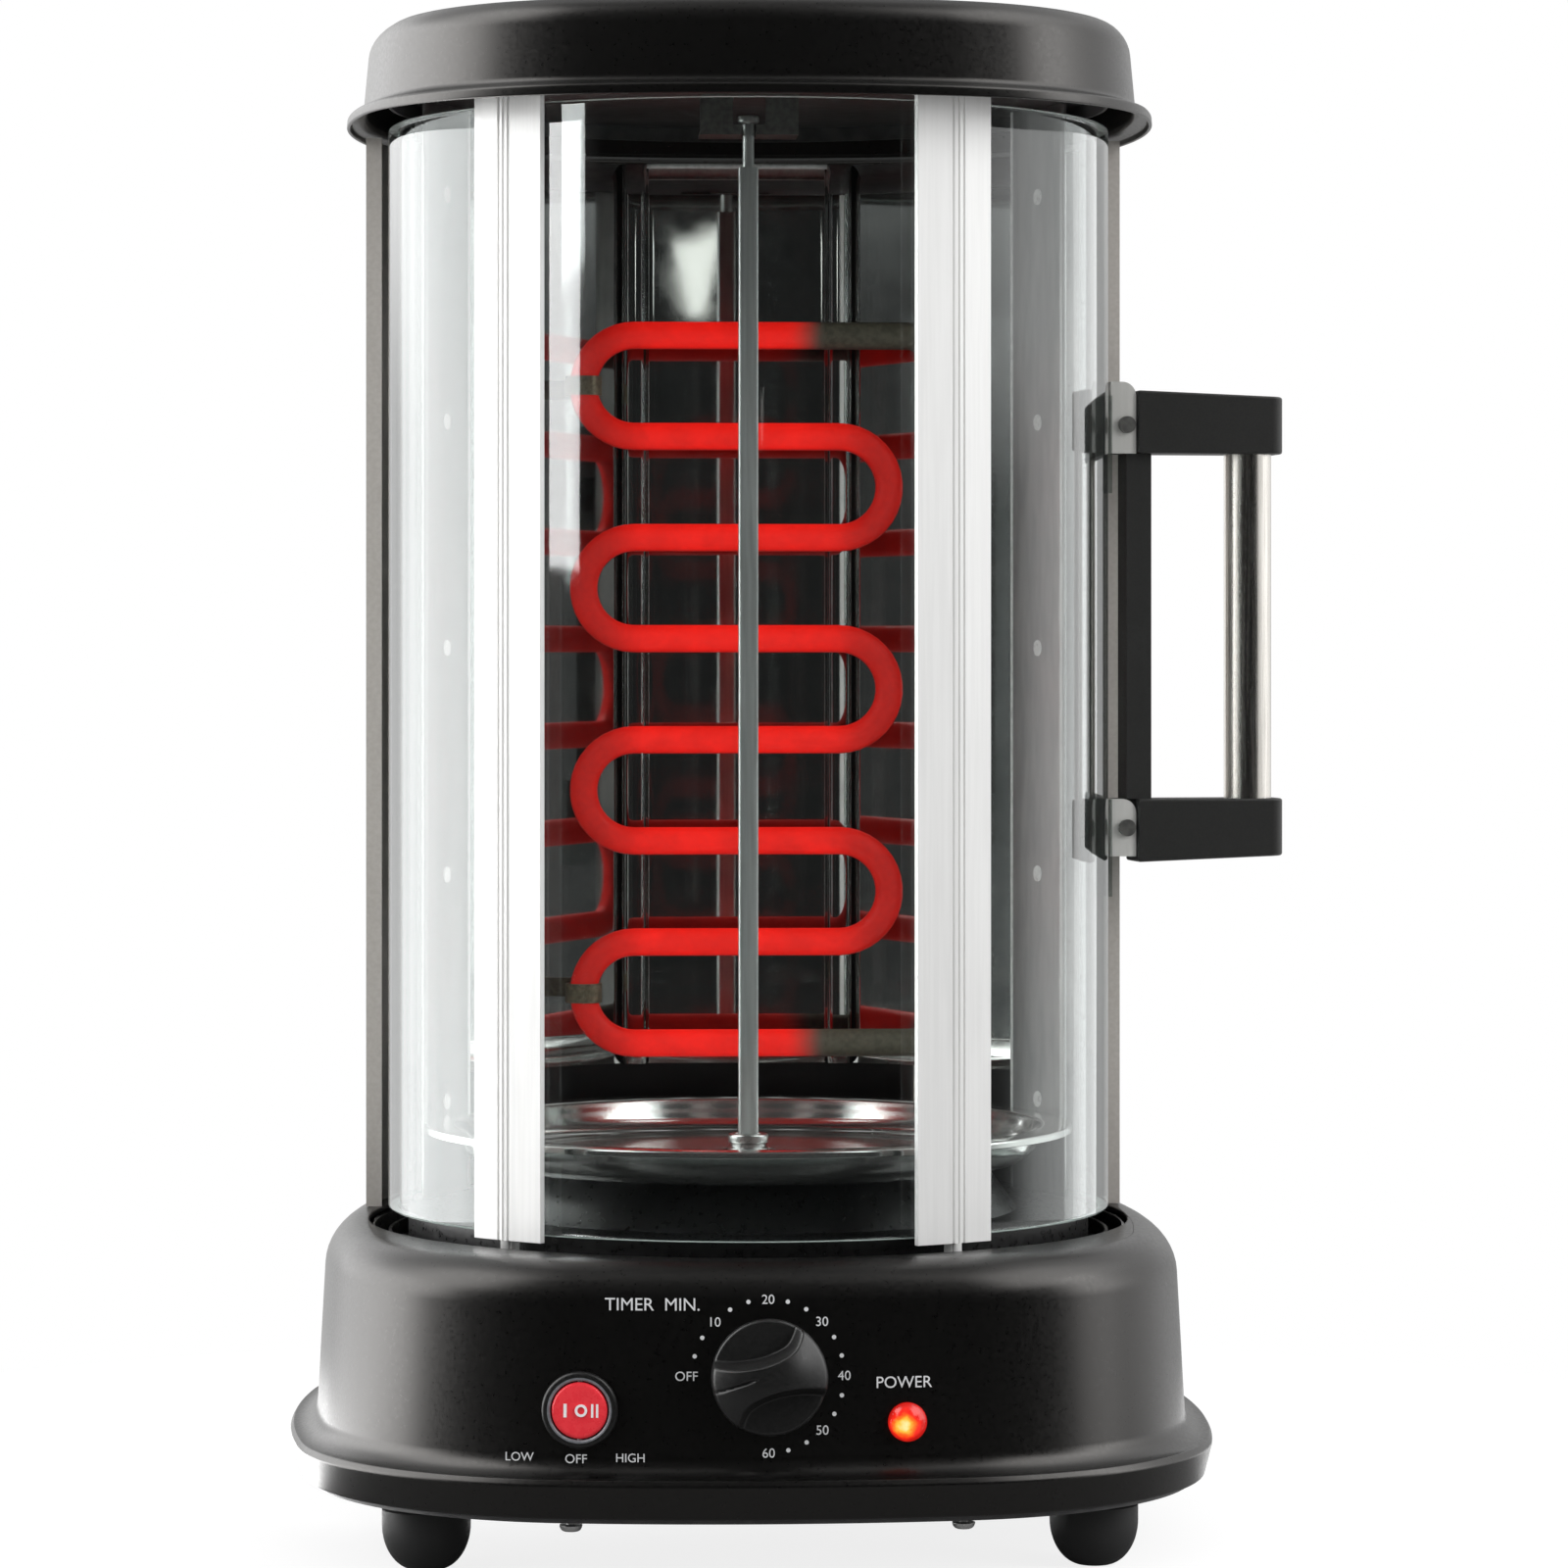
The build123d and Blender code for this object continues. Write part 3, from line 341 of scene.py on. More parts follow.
@dataclass(frozen=True)
class Plan:
    """Squarish plan of four wide side arcs and four tight corner arcs."""

    half: float
    corner: float
    side: float
    steps: int = 60

    def ring(self) -> tuple[Array, Array]:
        """Outline sampled at even arc lengths, each arc being a centre plus its radius times the normal.

        Returns:
            Points and outward normals in plan.
        """
        reach = self.side - self.half
        center = (math.sqrt(2 * (self.side - self.corner) ** 2 - reach ** 2) - reach) / 2
        swing = math.atan2(center, center + reach)
        bend = math.pi / 2 - 2 * swing
        lengths = np.cumsum([0, self.side * swing, self.corner * bend, self.side * swing])
        travel = np.linspace(0, lengths[-1], self.steps, endpoint=False)
        angle = np.interp(travel, lengths, [0, swing, math.pi / 2 - swing, math.pi / 2])
        normal = np.column_stack([np.cos(angle), np.sin(angle)])
        first, last = angle < swing, angle > math.pi / 2 - swing
        radius = np.where(first | last, self.side, self.corner)[:, None]
        middle = np.where(first[:, None], (-reach, 0), np.where(last[:, None], (0, -reach), (center, center)))
        quarter = middle + radius * normal
        turns = [np.array(Matrix.Rotation(k * math.pi / 2, 2)) for k in range(4)]
        return tuple(np.concatenate([part @ turn.T for turn in turns]) for part in (quarter, normal))

    def sweep(self, profile: Array) -> Array:
        """Profile of inset and height carried round the outline: point minus inset times normal.

        Args:
            profile: Inset and height of each point.

        Returns:
            Grid of points, one row for each profile point.
        """
        points, normals = self.ring()
        flat = points[None] - profile[:, None, :1] * normals[None]
        height = np.broadcast_to(profile[:, None, 1:], flat.shape[:2] + (1,))
        return np.concatenate([flat, height], -1)


@dataclass(frozen=True)
class Seat:
    """Place on the grill with its own right, up and out directions."""

    origin: Triple
    right: Triple
    up: Triple
    out: Triple

    def points(self, spots: Array) -> Array:
        """Carries points from the seat's own directions to the grill's."""
        return np.array(self.origin) + spots @ np.array([self.right, self.up, self.out])

    def place(self, patch: Patch) -> Patch:
        """Carries a patch from the seat's own directions to the grill's."""
        return patch.moved(self.points(patch.points))


# Finishes


@dataclass
class Graph:
    """Node tree that is filled one node at a time."""

    tree: bpy.types.NodeTree

    def add(self, kind: str, inputs: dict[Any, Any] | None = None, **settings: Any) -> bpy.types.Node:
        """Adds a node, sets its options, and links or sets its inputs.

        Args:
            kind: Node type.
            inputs: Values or sockets for the node's inputs, by name or number.
            **settings: Options of the node.

        Returns:
            The node.
        """
        node = self.tree.nodes.new(kind)
        for key, value in settings.items():
            setattr(node, key, value)
        self.feed(node, inputs or {})
        return node

    def feed(self, node: bpy.types.Node, inputs: dict[Any, Any]) -> None:
        """Links sockets and sets values on a node's inputs.

        Args:
            node: Node to feed.
            inputs: Values or sockets, by the input's name or number.
        """
        for key, value in inputs.items():
            if isinstance(value, bpy.types.NodeSocket):
                self.tree.links.new(value, node.inputs[key])
            else:
                node.inputs[key].default_value = value

    def here(self, kind: str = "Object") -> bpy.types.NodeSocket:
        """Coordinates or direction at the shaded point."""
        return self.add("ShaderNodeTexCoord").outputs[kind]

    def split(self, vector: Any) -> Sequence[bpy.types.NodeSocket]:
        """Parts of a vector along the three axes."""
        return self.add("ShaderNodeSeparateXYZ", {0: vector}).outputs

    def measure(self, operation: str, first: Any, second: Any = (0, 0, 0)) -> bpy.types.NodeSocket:
        """Number that follows from two vectors."""
        inputs = {0: first, 1: second}
        return self.add("ShaderNodeVectorMath", inputs, operation=operation).outputs["Value"]

    def math(self, operation: str, first: Any, second: Any = 0.0) -> bpy.types.NodeSocket:
        """Result of one sum."""
        return self.add("ShaderNodeMath", {0: first, 1: second}, operation=operation).outputs[0]

    def span(self, value: Any, source: Pair, target: Pair = (0.0, 1.0)) -> bpy.types.NodeSocket:
        """Value carried smoothly from one range to another."""
        inputs = {"Value": value, 1: source[0], 2: source[1], 3: target[0], 4: target[1]}
        return self.add("ShaderNodeMapRange", inputs, interpolation_type="SMOOTHSTEP").outputs[0]

    def noise(self, scale: float, stretch: Triple = (1, 1, 1), detail: float = 4.0) -> bpy.types.NodeSocket:
        """Noise over Object coordinates.

        Args:
            scale: Cells per metre.
            stretch: Share of the scale along each axis.
            detail: Octaves of the noise.

        Returns:
            Socket with the noise.
        """
        place = self.add("ShaderNodeMapping", {"Vector": self.here(), "Scale": stretch}).outputs[0]
        inputs = {"Vector": place, "Scale": scale, "Detail": detail}
        return self.add("ShaderNodeTexNoise", inputs).outputs[0]

    def blend(self, factor: Any, first: Any, second: Any) -> bpy.types.NodeSocket:
        """Colour between two colours.

        Args:
            factor: Share of the second colour.
            first: Colour or socket.
            second: Colour or socket.

        Returns:
            Socket with the colour.
        """
        node = self.add("ShaderNodeMix", {"Factor": factor}, data_type="RGBA")
        for number, value in zip(MIX_COLORS, (first, second)):
            linked = isinstance(value, bpy.types.NodeSocket)
            self.feed(node, {number: value if linked else (*value, 1.0)})
        return node.outputs[MIX_RESULT]

    def ramp(self, factor: Any, stops: Sequence[tuple[float, Color]]) -> bpy.types.NodeSocket:
        """Colour read from a row of stops.

        Args:
            factor: Place along the row.
            stops: Places from 0 to 1 with their colours.

        Returns:
            Socket with the colour.
        """
        node = self.add("ShaderNodeValToRGB", {0: factor})
        elements = node.color_ramp.elements
        while len(elements) < len(stops):
            elements.new(1.0)
        for element, (position, color) in zip(elements, stops):
            element.position = position
            element.color = (*color, 1.0)
        return node.outputs[0]


def new_material(name: str) -> tuple[bpy.types.Material, Graph, bpy.types.Node]:
    """New material with its node tree and its Principled shader.

    Args:
        name: Name of the material.

    Returns:
        The material, its tree and its shader.
    """
    material = bpy.data.materials.new(name)
    material.use_nodes = True
    return material, Graph(material.node_tree), material.node_tree.nodes["Principled BSDF"]


def metres(lengths: Pair) -> Pair:
    """Two lengths in metres."""
    return lengths[0] * MM, lengths[1] * MM


@dataclass(frozen=True)
class Finish:
    """Surface with two close colours, a span of roughness and a fine relief, all from noise."""

    name: str
    color: Color
    accent: Color
    metallic: float = 0.0
    gloss: Pair = (0.4, 0.5)
    grain: float = 400.0
    stretch: Triple = (1, 1, 1)
    relief: float = 0.0
    relief_grain: float = 2500.0
    wave: float = 0.0
    wave_grain: float = 22.0
    wave_stretch: Triple = (1, 1, 0.35)
    bump_detail: float = 2.0
    tint: Color = (1, 1, 1)
    shine: float = 0.5
    color_noise: Pair = (0.3, 0.7)
    gloss_noise: Pair = (0.25, 0.75)

    def material(self) -> bpy.types.Material:
        """The finish's material, made once."""
        known = bpy.data.materials.get(self.name)
        return known or self.make()

    def make(self) -> bpy.types.Material:
        """Builds the material.

        Returns:
            The new material.
        """
        material, graph, shader = new_material(self.name)
        self.fill(graph, shader)
        return material

    def fill(self, graph: Graph, shader: bpy.types.Node) -> None:
        """Feeds the shader: colour and roughness follow one noise, relief another.

        Args:
            graph: Node tree of the material.
            shader: Its Principled shader.
        """
        noise = graph.noise(self.grain, self.stretch)
        inputs = {
            "Base Color": graph.blend(graph.span(noise, self.color_noise), self.color, self.accent),
            "Roughness": graph.span(noise, self.gloss_noise, self.gloss),
            "Metallic": self.metallic,
            "Specular Tint": (*self.tint, 1.0),
            "Specular IOR Level": self.shine,
        }
        normal = None
        for depth, grain, stretch in (
            (self.wave, self.wave_grain, self.wave_stretch),
            (self.relief, self.relief_grain, self.stretch),
        ):
            if depth:
                height = graph.noise(grain, stretch, self.bump_detail)
                bump = {"Height": height, "Strength": 1.0, "Distance": depth * MM}
                if normal:
                    bump["Normal"] = normal
                normal = graph.add("ShaderNodeBump", bump).outputs[0]
        if normal:
            inputs["Normal"] = normal
        graph.feed(shader, inputs)


@dataclass(frozen=True)
class CrownFinish(Finish):
    """Paint whose flat top is matt, so that it stays dark at a low angle."""

    crown: Pair = (451.0, 452.9)
    crown_shine: float = 0.03

    def fill(self, graph: Graph, shader: bpy.types.Node) -> None:
        """Feeds the shader, with a shine that falls off towards the crown.

        Args:
            graph: Node tree of the material.
            shader: Its Principled shader.
        """
        super().fill(graph, shader)
        height = graph.split(graph.here())[2]
        shine = graph.span(height, metres(self.crown), (self.shine, self.crown_shine))
        graph.feed(shader, {"Specular IOR Level": shine})


@dataclass(frozen=True)
class SpunFinish(Finish):
    """Polished sheet with fine rings round the spit, as a spinning lathe leaves."""

    rings: float = 900.0
    ring_strength: float = 0.2
    ring_depth: float = 0.004

    def fill(self, graph: Graph, shader: bpy.types.Node) -> None:
        """Feeds the shader: roughness and relief follow a noise of the distance from the Z axis.

        Args:
            graph: Node tree of the material.
            shader: Its Principled shader.
        """
        super().fill(graph, shader)
        flat = graph.add("ShaderNodeVectorMath", {0: graph.here(), 1: (1, 1, 0)}, operation="MULTIPLY")
        inputs = {"W": graph.measure("LENGTH", flat.outputs[0]), "Scale": self.rings}
        lines = graph.add("ShaderNodeTexNoise", inputs, noise_dimensions="1D").outputs[0]
        bump = {"Height": lines, "Strength": self.ring_strength, "Distance": self.ring_depth * MM}
        graph.feed(shader, {
            "Roughness": graph.span(lines, self.color_noise, self.gloss),
            "Normal": graph.add("ShaderNodeBump", bump).outputs[0],
        })


@dataclass(frozen=True)
class PaintedShadeFinish(Finish):
    """Painted sheet whose inner face is painted dark below a height and behind a depth, as shade."""

    # Painted shade: its colour, and the height and depth where it starts, with their fades.
    shade: Color = (0.006, 0.006, 0.006)
    height: float = 136.0
    height_fade: float = 4.0
    depth: float = 60.0
    depth_fade: float = 20.0

    def fill(self, graph: Graph, shader: bpy.types.Node) -> None:
        """Feeds the shader: faces that look towards the Z axis are painted dark low at the back, as shade.

        Args:
            graph: Node tree of the material.
            shader: Its Principled shader.
        """
        super().fill(graph, shader)
        place = graph.here()
        _, depth, height = graph.split(place)
        low = graph.span(height, metres((self.height - self.height_fade, self.height)), (1.0, 0.0))
        back = graph.span(depth, metres((self.depth, self.depth + self.depth_fade)))
        inward = graph.measure("DOT_PRODUCT", place, graph.here("Normal"))
        inner = graph.math("LESS_THAN", inward, 0.0)
        # Painted shade: dark where the face is low, at the back and turned inwards.
        dark = graph.math("MULTIPLY", graph.math("MULTIPLY", low, back), inner)
        painted = shader.inputs["Base Color"].links[0].from_socket
        graph.feed(shader, {"Base Color": graph.blend(dark, painted, self.shade)})


@dataclass(frozen=True)
class GlassFinish(Finish):
    """Clear curved glass: see-through face on, and more of a mirror the more it turns away."""

    least: float = 0.042
    power: float = 4.2
    clear: Color = (0.95, 0.97, 0.965)
    streak_grain: float = 70.0
    streak_stretch: Triple = (1, 1, 0.01)
    streak_detail: float = 3.0
    streak_noise: Pair = (0.35, 0.7)
    streak_share: Pair = (0.86, 1.08)

    def fill(self, graph: Graph, shader: bpy.types.Node) -> None:
        """Mixes a see-through film with a mirror by least + (1 - least) facing ^ power, with upright streaks.

        Args:
            graph: Node tree of the material.
            shader: Its Principled shader.
        """
        super().fill(graph, shader)
        facing = graph.add("ShaderNodeLayerWeight", {"Blend": 0.5}).outputs["Facing"]
        curve = graph.math("POWER", facing, self.power)
        rise = graph.add("ShaderNodeMapRange", {0: curve, 3: self.least}).outputs[0]
        noise = graph.noise(self.streak_grain, self.streak_stretch, self.streak_detail)
        share = graph.math("MULTIPLY", rise, graph.span(noise, self.streak_noise, self.streak_share))
        film = graph.add("ShaderNodeBsdfTransparent", {0: (*self.clear, 1.0)}).outputs[0]
        mixed = graph.add("ShaderNodeMixShader", {0: share, 1: film, 2: shader.outputs[0]}).outputs[0]
        graph.feed(graph.tree.nodes["Material Output"], {"Surface": mixed})


@dataclass(frozen=True)
class GlowFinish(Finish):
    """Hot rod that glows most in the middle of its straight runs and less in its bends, with its glow painted
    dimmer on its back than on its front, as shading.
    """

    glow: Color = (0.9, 0.009, 0.005)
    hot: float = 0.76
    cool: float = 0.26
    # Painted shading: share of the glow left on the back, the front's direction, and the facing range between
    # them.
    back: float = 0.2
    front: Triple = (0.0, -0.98, 0.2)
    turn: Pair = (-0.15, 0.45)
    ends: Pair = (150.0, 356.0)
    fade: Pair = (13.0, 26.0)
    cold: Color = (0.09, 0.08, 0.06)
    middle: float = -1.5
    straight: Pair = (26.0, 44.0)
    patch_grain: float = 90.0
    patch_share: Pair = (0.85, 1.1)

    def fill(self, graph: Graph, shader: bpy.types.Node) -> None:
        """Feeds the shader: the glow falls away from the middle and towards the two cold ends, and is painted
        dimmer towards the back as shading.

        Args:
            graph: Node tree of the material.
            shader: Its Principled shader.
        """
        super().fill(graph, shader)
        across, _, level = graph.split(graph.here())
        low, high = metres(self.ends)
        below, over = graph.math("LESS_THAN", level, low), graph.math("GREATER_THAN", level, high)
        last = graph.math("MAXIMUM", below, over)
        cold = graph.math("MULTIPLY", last, graph.span(across, metres(self.fade)))
        # Painted shading: how far the rod faces the front sets the glow's share.
        facing = graph.measure("DOT_PRODUCT", graph.here("Normal"), self.front)
        offset = graph.math("ABSOLUTE", graph.math("SUBTRACT", across, self.middle * MM))
        strength = graph.math("SUBTRACT", 1.0, cold)
        for share in (
            graph.span(facing, self.turn, (self.back, 1.0)),
            graph.span(offset, metres(self.straight), (self.hot, self.cool)),
            graph.span(graph.noise(self.patch_grain), self.color_noise, self.patch_share),
        ):
            strength = graph.math("MULTIPLY", strength, share)
        painted = shader.inputs["Base Color"].links[0].from_socket
        graph.feed(shader, {
            "Emission Color": (*self.glow, 1.0),
            "Emission Strength": strength,
            "Base Color": graph.blend(cold, painted, self.cold),
        })


@dataclass(frozen=True)
class LampFinish(Finish):
    """Lit lamp lens whose colour runs from a yellow core to a deep red edge."""

    core: Triple = (0, 0, 0)
    spread: float = 6.0
    wobble: float = 3.2
    wobble_grain: float = 420.0
    stops: tuple[tuple[float, Color], ...] = (
        (0.0, (1.0, 0.95, 0.45)), (0.2, (1.0, 0.6, 0.06)), (0.42, (1.0, 0.2, 0.012)),
        (0.68, (0.8, 0.02, 0.008)), (1.0, (0.3, 0.003, 0.002)))

    def fill(self, graph: Graph, shader: bpy.types.Node) -> None:
        """Feeds the shader: the glow's colour follows the distance from the core, with a wobble.

        Args:
            graph: Node tree of the material.
            shader: Its Principled shader.
        """
        super().fill(graph, shader)
        away = graph.measure("DISTANCE", graph.here(), tuple(value * MM for value in self.core))
        noise = graph.math("SUBTRACT", graph.noise(self.wobble_grain), 0.5)
        wobble = graph.math("MULTIPLY", noise, self.wobble * MM)
        reach = graph.span(graph.math("ADD", away, wobble), (0.0, self.spread * MM))
        graph.feed(shader, {"Emission Color": graph.ramp(reach, self.stops), "Emission Strength": 1.0})


SATIN_BLACK = {
    "color": (0.0018, 0.0018, 0.0018),
    "accent": (0.0032, 0.0031, 0.003),
    "gloss": (0.27, 0.35),
    "grain": 900.0,
    "relief": 0.004,
    "relief_grain": 3800.0,
    "tint": (1.0, 0.965, 0.93),
}
BLACK_PAINT = Finish("satin_black_paint", **SATIN_BLACK)
LID_PAINT = CrownFinish("satin_lid_paint", **SATIN_BLACK)
DECK_PAINT = Finish("deck_black_paint", (0.006, 0.006, 0.006), (0.010, 0.010, 0.010),
                    gloss=(0.25, 0.4), grain=500.0)
ZINC = Finish("zinc_sheet_metal", (0.42, 0.43, 0.44), (0.52, 0.53, 0.53),
              metallic=1.0, gloss=(0.3, 0.48), grain=160.0)
# Zinc sheet painted dark as shade where it lies under the base and inside the lid.
SHADED_ZINC = Finish("shaded_zinc", (0.09, 0.09, 0.092), (0.13, 0.13, 0.13),
                   metallic=0.6, gloss=(0.4, 0.55), grain=160.0)
# Rear cover's paint, with its inner face painted dark low at the back as shade.
GREY_SHEET = PaintedShadeFinish("warm_grey_sheet", (0.46, 0.43, 0.40), (0.51, 0.48, 0.45),
                          metallic=0.15, gloss=(0.34, 0.46), grain=700.0, relief=0.004)
MIRROR = Finish("mirror_sheet", (0.52, 0.52, 0.515), (0.60, 0.60, 0.59),
                metallic=1.0, gloss=(0.025, 0.05), grain=120.0, wave=0.012)
BAND_STEEL = Finish("satin_band_steel", (0.36, 0.36, 0.355), (0.44, 0.44, 0.43),
                    metallic=0.85, gloss=(0.38, 0.5), grain=300.0, stretch=(1, 1, 0.2))
# Pale steel, not metallic: its own colour on screws and pins, and a painted highlight on the folds, the beads
# and the bracket's edge.
PALE_STEEL_AND_FOLD_HIGHLIGHT = Finish("pale_steel_fold_highlight", (0.6, 0.6, 0.59), (0.7, 0.7, 0.69), gloss=(0.25, 0.35), grain=600.0)
HANDLE_STEEL = Finish("satin_clip_steel", (0.36, 0.355, 0.34), (0.43, 0.425, 0.41),
                      gloss=(0.3, 0.4), grain=250.0, stretch=(1, 1, 0.1))
# Steel darker than the rest, on the spit's bracket and the handle's screws.
BRACKET_STEEL = Finish("dark_bracket_steel", (0.12, 0.12, 0.115), (0.18, 0.18, 0.17),
                       metallic=0.6, gloss=(0.3, 0.42), grain=500.0)
SPUN_STEEL = SpunFinish("spun_steel", (0.74, 0.735, 0.72), (0.82, 0.815, 0.80),
                        metallic=0.95, gloss=(0.1, 0.18), grain=80.0)
STEEL = Finish("bright_steel", (0.58, 0.58, 0.575), (0.64, 0.64, 0.63),
               metallic=1.0, gloss=(0.26, 0.34), grain=1500.0)
SPIT_STEEL = Finish("ground_steel", (0.55, 0.57, 0.56), (0.66, 0.68, 0.67),
                    metallic=0.75, gloss=(0.3, 0.42), grain=900.0, stretch=(1, 1, 0.04), relief=0.002)
CLIP_STEEL = Finish("heated_clip", (0.20, 0.17, 0.12), (0.32, 0.27, 0.19),
                    metallic=0.8, gloss=(0.3, 0.45), grain=700.0)
BRASS = Finish("bush_brass_metal", (0.55, 0.40, 0.17), (0.62, 0.47, 0.22),
               metallic=1.0, gloss=(0.25, 0.4))
HOT_ROD = GlowFinish("glowing_rod", (0.30, 0.007, 0.005), (0.38, 0.011, 0.007),
                     gloss=(0.5, 0.62), grain=500.0)
COLD_ROD = Finish("cold_rod", (0.075, 0.068, 0.05), (0.12, 0.108, 0.08),
                  metallic=0.3, gloss=(0.5, 0.7), grain=600.0)
SLEEVE = Finish("lead_sleeving", (0.5, 0.47, 0.42), (0.6, 0.57, 0.5),
                gloss=(0.6, 0.8), grain=1500.0, relief=0.02)
PALE_PLASTIC = Finish("pale_plastic", (0.68, 0.67, 0.64), (0.74, 0.73, 0.70),
                      gloss=(0.35, 0.5), grain=700.0)
BLACK_PLASTIC = Finish("moulded_black", (0.005, 0.005, 0.005), (0.009, 0.009, 0.0088),
                       gloss=(0.34, 0.46), grain=1300.0, relief=0.006, relief_grain=3000.0)
ARM_PLASTIC = Finish("grained_black", (0.015, 0.015, 0.0145), (0.022, 0.022, 0.021),
                     gloss=(0.48, 0.6), grain=1600.0, relief=0.01, relief_grain=3000.0)
RED_PLASTIC = Finish("moulded_red", (0.84, 0.03, 0.045), (0.88, 0.036, 0.05),
                     gloss=(0.22, 0.34), grain=600.0)
RUBBER = Finish("soft_rubber", (0.017, 0.017, 0.017), (0.024, 0.024, 0.024),
                gloss=(0.5, 0.66), grain=1200.0, relief=0.008)
ALUMINIUM = Finish("satin_anodised", (0.88, 0.88, 0.87), (0.92, 0.92, 0.91),
                   metallic=0.25, gloss=(0.32, 0.42), grain=900.0, stretch=(1, 1, 0.03), relief=0.002)
BRUSHED = Finish("brushed_grip", (0.54, 0.52, 0.485), (0.66, 0.64, 0.60),
                 metallic=1.0, gloss=(0.2, 0.32), grain=1600.0, stretch=(1, 1, 0.02), relief=0.006)
GLASS = GlassFinish("curved_glass", (0.92, 0.94, 0.94), (0.97, 0.98, 0.98),
                    metallic=1.0, gloss=(0.02, 0.05), grain=60.0, stretch=(1, 1, 0.02))
GLASS_EDGE = Finish("ground_glass_edge", (0.42, 0.50, 0.47), (0.55, 0.62, 0.59),
                    gloss=(0.12, 0.25), grain=300.0)
GLASS_END = Finish("dark_glass_end", (0.035, 0.045, 0.042), (0.06, 0.07, 0.066),
                   gloss=(0.2, 0.3), grain=300.0)
PAD_GLASS = GlassFinish("clear_pad", (0.85, 0.88, 0.87), (0.93, 0.95, 0.94),
                        metallic=1.0, gloss=(0.04, 0.1), grain=90.0, least=0.08, clear=(0.86, 0.89, 0.88))
WHITE_MARK = Finish("white_mark", (0.84, 0.85, 0.85), (0.9, 0.9, 0.9), gloss=(0.4, 0.5), grain=900.0)
# Grey band that paints the highlight on the bezel's inner edge.
BROW_HIGHLIGHT = Finish("brow_painted_highlight", (0.20, 0.21, 0.23), (0.28, 0.29, 0.31),
                    metallic=0.4, gloss=(0.3, 0.4), grain=900.0)
PRINT = Finish("pale_print", (0.66, 0.67, 0.68), (0.72, 0.73, 0.74), gloss=(0.45, 0.6), grain=900.0)


def fit(piece: bpy.types.Object, finish: Finish, body: Body, slot: Slot, *nodes: str) -> bpy.types.Object:
    """Dresses a piece, seats it on its body and hides the nodes that it replaces.

    Args:
        piece: New piece.
        finish: Its finish.
        body: Body that carries it.
        slot: Slot of the record; not used.
        *nodes: Nodes that it replaces.

    Returns:
        The piece.
    """
    piece.data.materials.append(finish.material())
    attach(piece, body.value)
    if nodes:
        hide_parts(*nodes)
    log.info("%s on %s, %d faces", piece.name, body.value, len(piece.data.polygons))
    return piece


# Sub-assemblies


